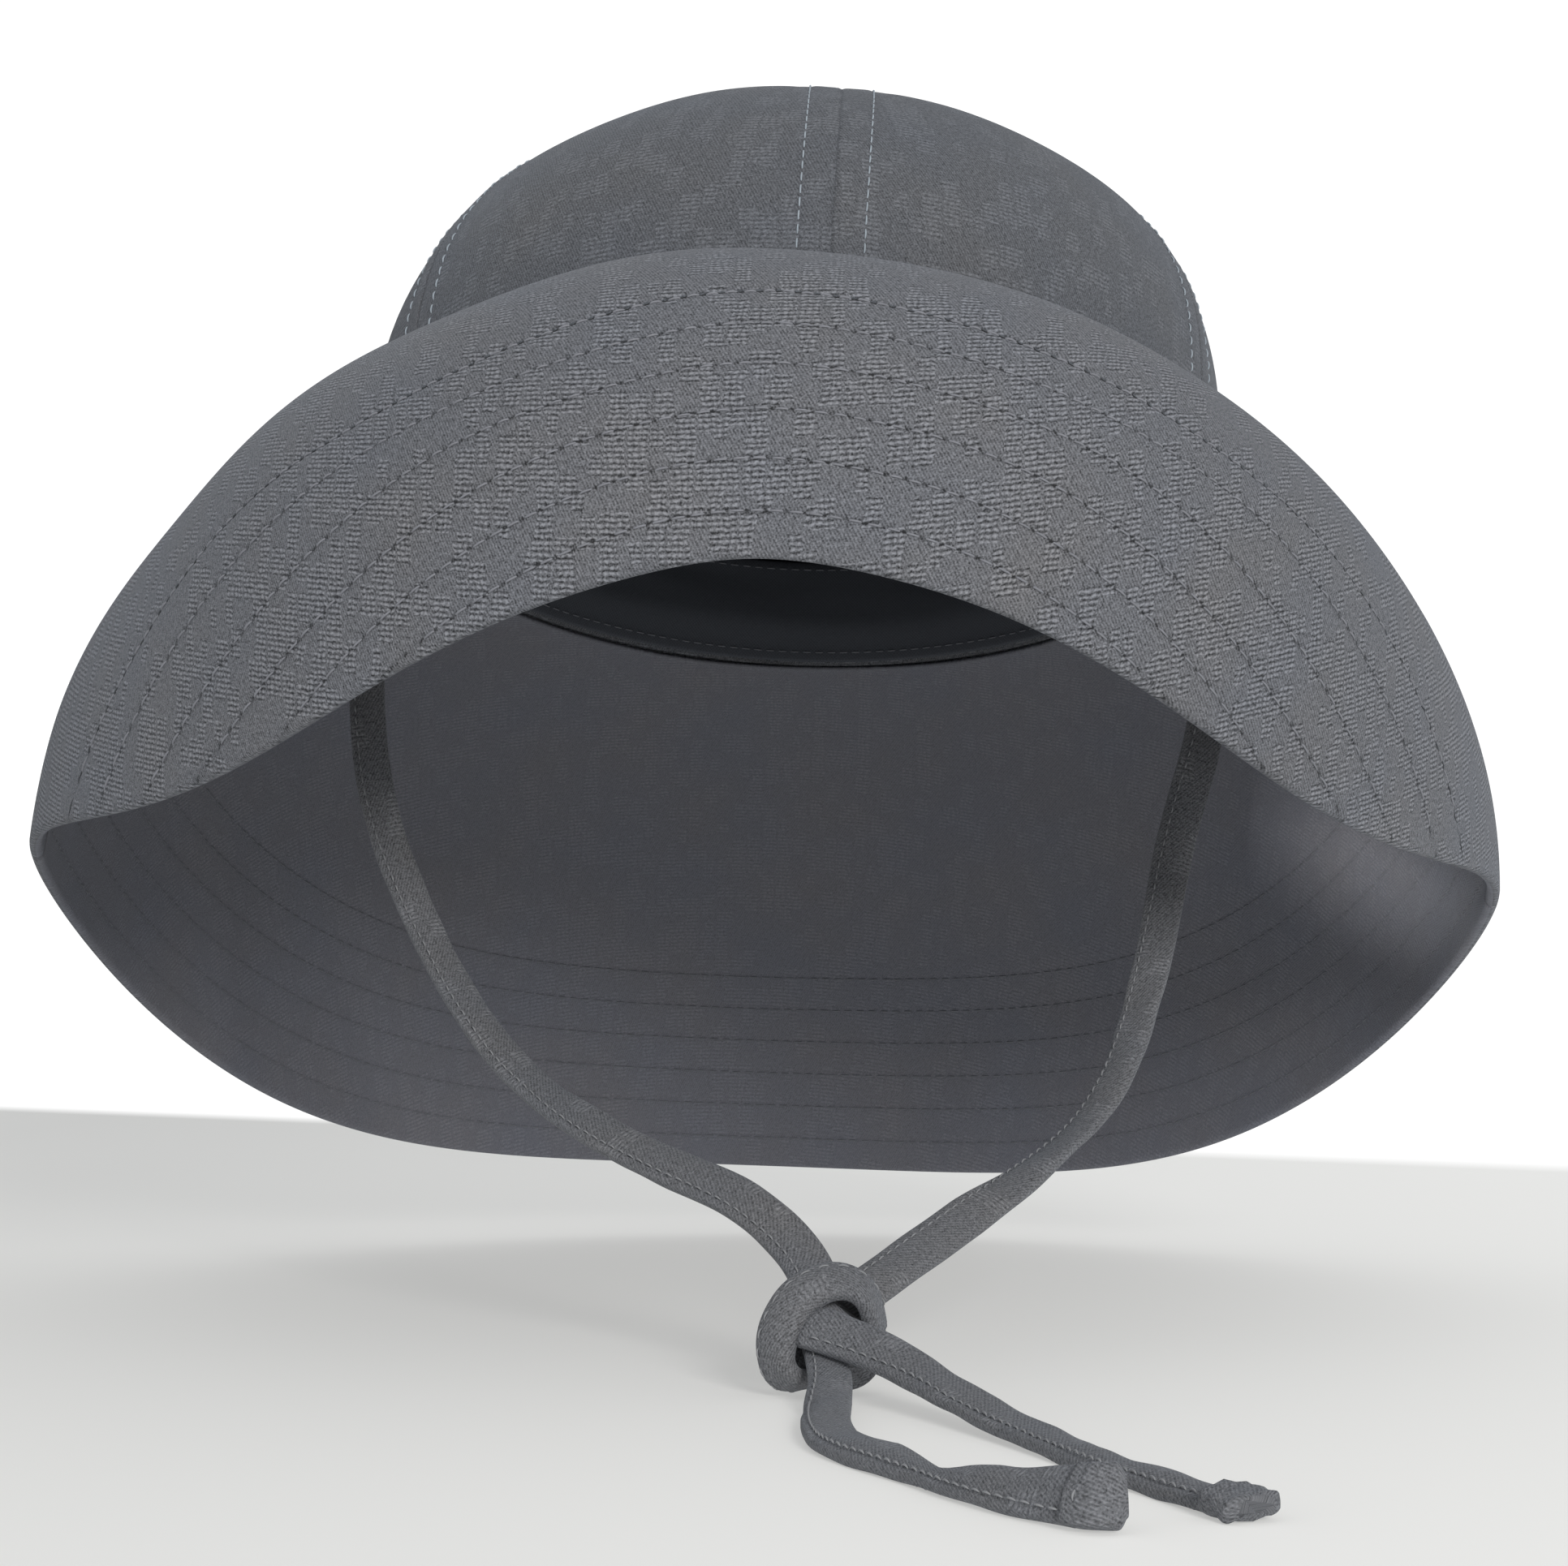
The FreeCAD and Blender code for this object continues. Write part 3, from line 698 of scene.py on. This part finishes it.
def build_gore(index, gore):
    first = SEAM_YAW + index * GORE_TURN
    azimuth, climb, plain = crown_grid(first, first + GORE_TURN, 52, 64, 0.0)
    uv = cloth_coordinates(plain)
    span = uv[-1, :, 0] - uv[0, :, 0]
    from_seam = np.minimum(uv[..., 0] - uv[0, :, 0], uv[-1, :, 0] - uv[..., 0])
    narrow = ease(span, 3.0, 26.0)[None, :]  # 0 at the gore's tip
    allowance = 0.42 * (1 - ease(from_seam, 5.6, 8.4)) * narrow
    valley = 0.25 * gauss(from_seam, 0.5) * ease(span, 1.0, 9.0)[None, :]
    pulled = 0.22 * gauss(from_seam - TOPSTITCH, 0.9) * narrow
    pulled = pulled * (1 + 0.5 * ripple(uv[..., 1], uv[..., 0], 7.0, 31 + index))
    peak = 1.1 * gauss(np.linalg.norm(plain - plain[:, -1:], axis=-1), 7.0)
    slump = crown_slump(azimuth, climb) * ease(from_seam, 0.0, 12.0)
    inset = valley + pulled - allowance - peak - slump - crown_push(azimuth, climb)
    outer = crown_point(azimuth, climb, inset)
    inner = crown_point(azimuth, climb, inset + CLOTH)
    # the lower edge turns in under the brim's root
    drop = gauss(uv[..., 1], 1.6)[..., None] * leaned(np.array([[0.0, 0.0, -1.2]]))
    outer, inner = outer + drop, inner + drop
    # each gore is cut from another part of the cloth
    cut_from = [97.0 * index, 31.0 * index]
    thing = closed_sheet("crown_cloth_" + gore, outer[::-1], inner[::-1], 4,
                         {"cloth": (uv + cut_from)[::-1]})
    dress(thing, CROWN_CLOTH, "crown_cloth", node="crown_gore_" + gore)
    normals = -surface_normals(outer)
    rows = []
    for side, order in ((0, slice(None)), (-1, slice(None, None, -1))):
        line, lift = [], []
        for up in range(outer.shape[1]):
            if span[up] < 2 * TOPSTITCH + 3.0:
                break
            offsets = np.abs(uv[:, up, 0] - uv[side, up, 0])[order]
            line.append(read_line(TOPSTITCH, offsets, outer[order, up]))
            lift.append(read_line(TOPSTITCH, offsets, normals[order, up]))
        line = np.array(line)
        rows.append((line, np.array(lift), lengths_along(line)))
    azimuth, climb, _ = crown_grid(first, first + GORE_TURN, 18, 30, 0.0)
    depth = CLOTH + LINING_GAP - crown_push(azimuth, climb)
    lining = crown_point(azimuth, climb, depth)
    lining_inner = crown_point(azimuth, climb, depth + LINING)
    uv = cloth_coordinates(lining)
    thing = closed_sheet("lining_cloth_" + gore, lining[::-1], lining_inner[::-1], 1,
                         {"cloth": uv[::-1]})
    dress(thing, LINING_CLOTH, "lining", node="lining_gore_" + gore)
    return rows


crown_rows = []
for index, gore in enumerate(GORES):
    crown_rows += build_gore(index, gore)
dress(stitch_rows("crown_topstitching", crown_rows, SEAM_STITCH, SEAM_THREAD, rise=0.05),
      THREAD_PALE, "crown_cloth")

# ---- sweatband

BAND_TOP, BAND_FOOT = 23.0, -0.6
BAND_HALF_WIDTH, BAND_HALF_LENGTH = 85.2, 98.2
BAND_THICKNESS = 1.2
BAND_LEAN = 3.4  # its foot stands out to meet the seam
FACE_LINES = 15  # of the grid, up each face


def build_sweatband():
    turns = 240
    azimuth = np.linspace(0, 2 * math.pi, turns, endpoint=False)
    up = np.linspace(BAND_FOOT, BAND_TOP, FACE_LINES)
    height = np.concatenate([up, [BAND_TOP + 0.5], up[::-1], [BAND_FOOT - 0.5]])
    face = np.concatenate([np.full(FACE_LINES, BAND_THICKNESS), [BAND_THICKNESS / 2],
                           np.zeros(FACE_LINES), [BAND_THICKNESS / 2]])
    flare = BAND_LEAN * (1 - ease(height, BAND_FOOT, 9.0))
    wave = 0.35 * ripple(95 * azimuth[:, None], 3 * height[None, :], 34.0, 41)
    wave = wave * ease(height, 2.0, 14.0)[None, :]
    reach = flare[None, :] - face[None, :] + wave
    x = (BAND_HALF_WIDTH + reach) * np.sin(azimuth)[:, None]
    y = -(BAND_HALF_LENGTH + reach) * np.cos(azimuth)[:, None]
    z = height[None, :] + 0 * x
    grid = leaned(np.stack([x, y, z], axis=-1))
    closed = np.concatenate([grid, grid[:1]])
    closed = np.concatenate([closed, closed[:, :1]], axis=1)
    rows, columns = closed.shape[:2]
    around = lengths_along(closed[:, 0])
    uv = np.stack(np.broadcast_arrays(around[:, None], lengths_along(closed[0])), axis=-1)
    thing = weld(make_object("sweatband_tape", closed.reshape(-1, 3),
                             grid_faces(rows, columns), {"cloth": uv.reshape(-1, 2)}))
    dress(thing, BAND_CLOTH, "sweatband", node="sweatband")
    stitched = []
    normals = surface_normals(closed)
    inside = closed.mean(axis=(0, 1))
    for column in (1, FACE_LINES - 2):
        line, lift = closed[:, column], normals[:, column]
        toward = np.sum((inside - line) * lift, axis=1)
        stitched.append((line, lift * np.sign(toward)[:, None], lengths_along(line)))
    dress(stitch_rows("sweatband_stitches", stitched, SEAM_STITCH, SEAM_THREAD),
          THREAD_MATCHED, "sweatband")


build_sweatband()

# ---- chin ties

# The routes of the four tapes, in metres, from anchor to knot and from knot to hem.
TIE_LEFT = [
    (-0.0869, -0.0122, 0.0), (-0.0882, -0.017, -0.022), (-0.0874, -0.0245, -0.045),
    (-0.084, -0.0315, -0.067), (-0.0745, -0.0425, -0.088), (-0.0626, -0.06, -0.107),
    (-0.048, -0.08, -0.122), (-0.028, -0.1035, -0.132), (-0.010, -0.121, -0.1375),
    (0.0025, -0.136, -0.147), (0.0045, -0.144, -0.153)]
TIE_RIGHT = [
    (0.0865, -0.0122, -0.0084), (0.0874, -0.018, -0.029), (0.085, -0.025, -0.0505),
    (0.0775, -0.032, -0.072), (0.0722, -0.044, -0.092), (0.0663, -0.0595, -0.1095),
    (0.057, -0.077, -0.126), (0.0415, -0.0975, -0.1365), (0.026, -0.116, -0.145),
    (0.012, -0.135, -0.1525), (0.008, -0.143, -0.1545)]
TAIL_RIGHT = [
    (0.0015, -0.1525, -0.1565), (0.0085, -0.157, -0.158), (0.018, -0.1665, -0.1615),
    (0.0275, -0.186, -0.1655), (0.0375, -0.211, -0.1672), (0.045, -0.236, -0.1673),
    (0.0545, -0.258, -0.1672)]
TAIL_LEFT = [
    (0.0045, -0.150, -0.160), (0.006, -0.1565, -0.1635), (0.0048, -0.173, -0.167),
    (0.0042, -0.193, -0.1673), (0.0062, -0.211, -0.1673), (0.0135, -0.2275, -0.1673),
    (0.0208, -0.2460, -0.167), (0.0280, -0.2595, -0.1662), (0.0345, -0.2680, -0.1655)]


def spline_line(name, points):
    """The smooth line, in mm, of a NURBS spline with these points."""
    data = bpy.data.curves.new(name, "CURVE")
    data.dimensions = "3D"
    data.resolution_u = 16
    spline = data.splines.new("NURBS")
    spline.points.add(len(points) - 1)
    for control, point in zip(spline.points, points):
        control.co = (*point, 1.0)
    spline.order_u = 3
    spline.use_endpoint_u = True
    holder = link(name, data)
    bpy.context.view_layer.update()
    mesh = bpy.data.meshes.new_from_object(holder)
    line = np.array([vertex.co[:] for vertex in mesh.vertices]) / MM
    bpy.data.meshes.remove(mesh)
    bpy.data.objects.remove(holder)
    return line


def even_line(line, step):
    """The same line with points a step apart."""
    lengths = lengths_along(line)
    count = max(int(lengths[-1] / step), 8)
    return read_line(np.linspace(0, lengths[-1], count + 1), lengths, line)


def tape_section(sides=24):
    """A flat folded tape: across it from -1 to 1, and its thickness from -1 to 1."""
    turn = np.linspace(0, 2 * math.pi, sides, endpoint=False)
    return [np.sign(wave) * np.abs(wave) ** power
            for wave, power in ((np.cos(turn), 0.62), (np.sin(turn), 0.45))]


def sweep_tape(line, faces, seed, width=TIE_WIDTH, thickness=TIE_THICKNESS):
    """A tape along a line. faces lists (share of its length, direction it faces, width share).

    Gives the grid of its points, its two directions, half widths and lengths along the line."""
    lengths = lengths_along(line)
    share = lengths / lengths[-1]
    keys = np.array([key[0] for key in faces])
    facing = np.stack([np.interp(share, keys, [key[1][k] for key in faces])
                       for k in range(3)], axis=1)
    widths = np.interp(share, keys, [key[2] for key in faces]) * width / 2
    tangent = unit(np.gradient(line, axis=0))
    wide = unit(np.cross(tangent, facing))
    up = np.cross(wide, tangent)
    sway = 0.07 * ripple(lengths, 0 * lengths, 26.0, seed)
    wide, up = (wide * np.cos(sway)[:, None] + up * np.sin(sway)[:, None],
                up * np.cos(sway)[:, None] - wide * np.sin(sway)[:, None])
    across, thick = tape_section()
    a = widths[:, None] * across[None, :]
    a = a * (1 + 0.022 * ripple(lengths[:, None], 3 * across[None, :], 17.0, seed + 1))
    curl = 1 + ripple(lengths, 0 * lengths, 30.0, seed + 2)
    cup = -0.35 * (across ** 2)[None, :] * curl[:, None]
    crumple = 0.13 * ripple(0.5 * lengths[:, None], 6 * across[None, :], 6.5, seed + 3)
    furrow = 0.16 * gauss(across - 0.62, 0.13)[None, :] * np.sign(thick)[None, :]
    b = thickness / 2 * thick[None, :] + cup + crumple - furrow
    grid = line[:, None, :] + a[..., None] * wide[:, None, :] + b[..., None] * up[:, None, :]
    return grid, wide, up, widths, lengths


def build_tapes(name, tapes):
    """One object of closed tubes, one for each (grid, lengths), capped at both ends."""
    all_points, faces, uvs = [], [], []
    start = 0
    for grid, lengths in tapes:
        rows, sides = grid.shape[:2]
        points = np.concatenate([grid, grid[:, :1]], axis=1)
        faces += grid_faces(rows, sides + 1, start, flip=True)
        faces.append(tuple(start + side for side in range(sides)))
        last = start + (rows - 1) * (sides + 1)
        faces.append(tuple(last + side for side in range(sides))[::-1])
        girth = lengths_along(points[rows // 2])
        pairs = np.stack(np.broadcast_arrays(girth, lengths[:, None]), axis=-1)
        uvs.append(pairs.reshape(-1, 2))
        all_points.append(points.reshape(-1, 3))
        start += rows * (sides + 1)
    return weld(make_object(name, np.concatenate(all_points), faces,
                            {"cloth": np.concatenate(uvs)}))


TAPES = {
    "tie_left": (TIE_LEFT, [
        (0.0, (-0.35, -1.0, 0.0), 0.85), (0.25, (0.05, -1.0, 0.15), 0.92),
        (0.45, (0.35, -0.9, 0.25), 0.86), (0.62, (0.1, -0.75, 0.75), 0.86),
        (0.8, (-0.1, -0.8, 0.6), 0.98), (1.0, (0.1, -0.9, 0.45), 1.02)], 51),
    "tie_right": (TIE_RIGHT, [
        (0.0, (0.3, -1.0, 0.0), 0.9), (0.25, (0.15, -1.0, 0.1), 1.0),
        (0.5, (-0.45, -0.85, 0.2), 0.9), (0.68, (-0.6, -0.6, 0.6), 0.85),
        (0.82, (-0.1, -0.85, 0.5), 1.0), (1.0, (0.0, -0.9, 0.45), 0.95)], 61),
    "tie_tail_right": (TAIL_RIGHT, [
        (0.0, (0.1, -0.9, 0.4), 0.95), (0.2, (0.1, -0.7, 0.7), 0.95),
        (0.5, (0.0, -0.25, 1.0), 0.85), (1.0, (0.0, -0.2, 1.0), 0.8)], 71),
    "tie_tail_left": (TAIL_LEFT, [
        (0.0, (0.1, -1.0, 0.2), 0.85), (0.2, (-0.2, -0.8, 0.55), 0.95),
        (0.42, (0.0, -0.3, 1.0), 0.95), (0.6, (-0.2, -0.3, 0.95), 0.85),
        (0.73, (-0.1, -0.3, 0.95), 0.5), (0.86, (-0.65, -0.35, 0.65), 0.78),
        (1.0, (-0.8, -0.4, 0.45), 0.98)], 81),
}
TAPE_STEP = 1.5
EDGE_ROW = 0.62  # of the half width, from a tape's middle to its row of stitches
made_tapes = {}
tape_rows = []


def resting_height(wide, up, widths, thickness):
    """Height of a tape's line where the tape, however it is turned, just clears the table."""
    reach = np.abs(wide[:, 2]) * widths + np.abs(up[:, 2]) * thickness / 2
    return TABLE + (reach + CLEARANCE)


for tape_name, (route, faces, seed) in TAPES.items():
    line = even_line(spline_line(tape_name + "_line", route), TAPE_STEP)
    _, wide, up, widths, _ = sweep_tape(line, faces, seed)
    line[:, 2] = np.maximum(line[:, 2], resting_height(wide, up, widths, TIE_THICKNESS))
    grid, wide, up, widths, lengths = sweep_tape(line, faces, seed)
    grid[..., 2] = np.maximum(grid[..., 2], TABLE + 0.05)
    thing = build_tapes(tape_name + "_cloth", [(grid, lengths)])
    dress(thing, TIE_CLOTH, "tie_cloth", "chin_ties", tape_name)
    made_tapes[tape_name] = (thing, line, route)
    for face in (1, -1):
        on_face = line + EDGE_ROW * widths[:, None] * wide + face * 0.93 * up
        tape_rows.append((on_face, face * up, lengths))

# the tabs that hold the ties, caught between the band and the lining
TAB_FOOT, TAB_TOP = -3.0, 12.5  # from the tie's root
TAB_WIDTH, TAB_THICKNESS = 10.4, 1.5
for side, route, turn in (("left", TIE_LEFT, math.radians(-84.0)),
                          ("right", TIE_RIGHT, math.radians(84.0))):
    stand = leaned(np.array([0.0, 0.0, 1.0]))
    flat = unit(leaned(np.array(
        [math.sin(turn) / HALF_WIDTH, -math.cos(turn) / HALF_LENGTH, 0.0])))
    rise = np.array(route[0]) / MM + stand * np.linspace(TAB_FOOT, TAB_TOP, 32)[:, None]
    facing = [(0.0, -flat, 1.0), (1.0, -flat, 1.0)]
    grid, _, _, _, lengths = sweep_tape(rise, facing, 111, TAB_WIDTH, TAB_THICKNESS)
    tab = build_tapes("tie_tab_cloth_" + side, [(grid, lengths)])
    dress(tab, TIE_CLOTH, "tie_cloth", node="tie_anchor_" + side)

# the overhand knot: a loop that goes round the tapes, and the strand it closes on
KNOT_CENTRE = np.array([4.5, -148.0, -157.5])
KNOT_STEP = 0.8
KNOT_LOOP = [
    (8.8, 2.0, -0.7), (8.3, -1.0, 5.2), (3.0, -2.5, 8.3), (-3.6, -3.5, 6.2), (-7.4, -4.5, 0.6),
    (-8.2, -4.5, -4.6), (-6.2, -3.0, -8.4), (-2.0, 0.0, -8.6), (1.0, 3.0, -7.0)]
KNOT_STRAND = [
    (-3.0, 1.0, -7.0), (1.0, -1.5, -8.0), (5.5, -2.5, -6.8), (8.2, -1.0, -3.4), (8.6, 2.0, 1.0)]
KNOT_CORE = [(-4.5, 1.5, 3.0), (-1.0, -1.5, 1.5), (2.5, -2.0, -1.5), (5.5, 0.5, -3.5)]
KNOT_BACK = [(-3.6, 3.2, 3.4), (-4.2, 3.6, 0.0), (-3.4, 3.6, -4.0), (-2.4, 3.0, -7.2)]
knot_parts = []
for strand_name, local, faces, seed, width, thickness in (
        ("loop", KNOT_LOOP, [
            (0.0, (0.85, -0.5, 0.2), 0.85), (0.22, (0.55, -0.5, 0.7), 0.95),
            (0.36, (0.0, -0.62, 0.8), 1.0), (0.52, (-0.5, -0.75, 0.45), 1.0),
            (0.7, (-0.75, -0.65, -0.1), 1.0), (0.84, (-0.35, -0.55, -0.8), 0.95),
            (1.0, (0.1, -0.2, -1.0), 0.85)], 91, 7.6, 3.0),
        ("strand", KNOT_STRAND, [
            (0.0, (-0.1, -0.4, -0.95), 0.8), (0.5, (0.25, -0.8, -0.5), 0.95),
            (1.0, (0.9, -0.4, 0.1), 0.9)], 95, 6.8, 2.8),
        ("back", KNOT_BACK, [
            (0.0, (0.0, -1.0, 0.1), 0.9), (1.0, (0.0, -1.0, -0.1), 0.9)], 99, 8.0, 2.4),
        ("core", KNOT_CORE, [
            (0.0, (-0.3, -0.8, 0.5), 0.9), (1.0, (0.0, -0.95, 0.3), 0.9)], 98, 8.5, 4.4)):
    route = (np.array(local) + KNOT_CENTRE) * MM
    strand = even_line(spline_line("knot_" + strand_name, route), KNOT_STEP)
    grid, wide, up, widths, lengths = sweep_tape(strand, faces, seed, width, thickness)
    knot_parts.append((grid, lengths))
    if strand_name == "loop":
        on_face = strand + EDGE_ROW * widths[:, None] * wide + 1.08 * up
        tape_rows.append((on_face, up, lengths))
knot = build_tapes("chin_knot_cloth", knot_parts)
dress(knot, TIE_CLOTH, "tie_cloth", "chin_ties", "chin_knot")

# folded ends: one squared and stitched across, one crumpled
HEM_START, HEM_END = -1.2, 6.2  # from the tail's end
for side, width, thickness, closing, curl, crush in (
        ("left", 8.3, 2.9, [(0.0, (-0.8, -0.4, 0.45), 0.95), (0.4, (-0.4, -0.85, 0.42), 1.0),
                            (1.0, (0.1, -0.95, 0.35), 1.0)], 0.95, 0.12),
        ("right", 8.8, 3.4, [(0.0, (0.0, -0.3, 1.0), 0.92), (0.2, (0.0, -0.35, 1.0), 1.0),
                             (1.0, (0.0, -0.35, 1.0), 0.95)], 0.0, 0.42)):
    line = made_tapes["tie_tail_" + side][1]
    heading = line[-1] - line[-4]
    along = np.linspace(HEM_START, HEM_END, 26)
    bearing = math.atan2(heading[1], heading[0]) + curl * ease(along, 0.3, 3.6)
    steps = np.stack([np.cos(bearing), np.sin(bearing), 0 * bearing], axis=1)
    fold = line[-1] + HEM_START * unit(heading) + np.cumsum(steps * (along[1] - along[0]), axis=0)
    _, wide, up, widths, _ = sweep_tape(fold, closing, 103, width, thickness)
    fold[:, 2] = resting_height(wide, up, widths, thickness)
    grid, wide, up, widths, lengths = sweep_tape(fold, closing, 103, width, thickness)
    across, thick = tape_section()
    crumple = crush * ripple(lengths[:, None], 5 * across[None, :], 4.2, 107)
    grid = grid + crumple[..., None] * up[:, None, :]
    shut = 1 - 0.35 * gauss(lengths[-1] - lengths, 0.6)
    grid = fold[:, None, :] + (grid - fold[:, None, :]) * shut[:, None, None]
    grid[..., 2] = np.maximum(grid[..., 2], TABLE + 0.15)
    hem = build_tapes("tie_hem_cloth_" + side, [(grid, lengths)])
    dress(hem, TIE_CLOTH, "tie_cloth", "chin_ties", "tie_hem_" + side)
    if side == "left":
        # one row is stitched across it, at the sixth step of its line
        reach = np.linspace(-0.8, 0.8, 12)[:, None]
        seam = fold[6] + reach * widths[6] * wide[6] + (thickness / 2 - 0.1) * up[6]
        tape_rows.append((seam, np.repeat(up[6][None, :], 12, axis=0), lengths_along(seam)))
dress(stitch_rows("tie_edge_stitches", tape_rows, 2.6, 0.16, rise=0.16, fill=0.62),
      THREAD_TIE, "tie_cloth", "chin_ties")

# ---- camera, light and floor

CAMERA_PLACE, CAMERA_TILT = (-0.0017, -0.650, -0.1006), 0.0626  # metres, and radians upward
camera_data = bpy.data.cameras.new("camera")
camera_data.lens = 70.44
camera_data.sensor_width = 36.0
camera_data.clip_start = 0.01
camera = link("camera", camera_data)
camera.location = CAMERA_PLACE
camera.rotation_euler = (math.pi / 2 + CAMERA_TILT, 0.0, 0.0)
bpy.context.scene.camera = camera


def lamp(kind, name, place, target, power, colour, roll=0.0, **values):
    """A light that looks at target. values are those that only its kind has."""
    data = bpy.data.lights.new(name, kind)
    data.energy, data.color = power, colour
    for label, value in values.items():
        setattr(data, label, value)
    light = link(name, data)
    light.location = place
    aim = (Vector(target) - Vector(place)).to_track_quat("-Z", "Y")
    light.rotation_euler = (aim @ Quaternion((0.0, 0.0, 1.0), roll)).to_euler()
    return light


lamp("AREA", "key", (0.55, -1.95, 0.46), (0.0, -0.05, -0.05), 29.0, (1.0, 0.985, 0.965),
     size=0.5)
lamp("AREA", "fill", (-1.2, -1.3, 0.05), (0.05, 0.0, -0.06), 3.5, (0.93, 0.96, 1.0), size=0.9)
# a low, narrow beam reaches in under the brim on the right
beam = lamp("SPOT", "beam", (-0.10, -0.80, -0.160), (0.122, 0.0, -0.083), 40.0,
            (1.0, 0.97, 0.93), roll=math.radians(-31), spot_size=math.radians(4.4),
            spot_blend=0.8, shadow_soft_size=0.015)
beam.scale = (1.0, 0.42, 1.0)

world = bpy.data.worlds.new("studio")
world.use_nodes = True
bpy.context.scene.world = world
sky = Nodes(world.node_tree)
ambient = sky.add("ShaderNodeBackground", {0: (0.97, 0.985, 1.0, 1.0), 1: 0.55})
backdrop = sky.add("ShaderNodeBackground", {0: (1.0, 1.0, 1.0, 1.0), 1: 1.1})
seen = sky.add("ShaderNodeMixShader", {
    0: sky.add("ShaderNodeLightPath").outputs["Is Camera Ray"],
    1: ambient.outputs[0], 2: backdrop.outputs[0]})
sky.add("ShaderNodeOutputWorld", {0: seen.outputs[0]})

# The floor is a pale card, in metres. It ends at a slanting line behind the hat, where the
# backdrop begins.
# The card's glow is painted light: it lifts the hat's shadow on the card and is brighter towards
# the right, as if lit from there.
REACH = 4.0
CARD_SLANT, CARD_END, CARD_FADE = 0.72, 0.64, 0.03
GLOW_SLOPE, GLOW_MIDDLE, GLOW_LEAST, GLOW_MOST = 0.30, 0.38, 0.28, 0.52
floor_mesh = bpy.data.meshes.new("floor")
floor_mesh.from_pydata(
    [(-REACH, -REACH, 0), (REACH, -REACH, 0), (REACH, REACH, 0), (-REACH, REACH, 0)], [],
    [(0, 1, 2, 3)])
floor = link("floor", floor_mesh)
floor.location = (0, 0, TABLE * MM)
floor_material, nodes = new_material("floor_card")
right, back, _ = nodes.parts(nodes.place())
past = nodes.math("SUBTRACT", nodes.scaled(right, CARD_SLANT, back), CARD_END)
veil = nodes.add("ShaderNodeMapRange", {
    "Value": past, "From Min": -CARD_FADE, "From Max": CARD_FADE})
# painted light: the card's glow, brighter towards the right
glow = nodes.math("MAXIMUM", nodes.scaled(right, GLOW_SLOPE, GLOW_MIDDLE), GLOW_LEAST)
card = nodes.add("ShaderNodeBsdfPrincipled", {
    "Base Color": (0.50, 0.50, 0.49, 1.0), "Roughness": 0.8,
    "Emission Color": (0.98, 0.98, 0.96, 1.0),
    "Emission Strength": nodes.math("MINIMUM", glow, GLOW_MOST)})
white = nodes.add("ShaderNodeEmission", {1: 1.05})
blend = nodes.add("ShaderNodeMixShader", {
    0: veil.outputs[0], 1: card.outputs[0], 2: white.outputs[0]})
nodes.add("ShaderNodeOutputMaterial", {0: blend.outputs[0]})
floor_mesh.materials.append(floor_material)

bpy.context.scene.view_settings.view_transform = "Standard"
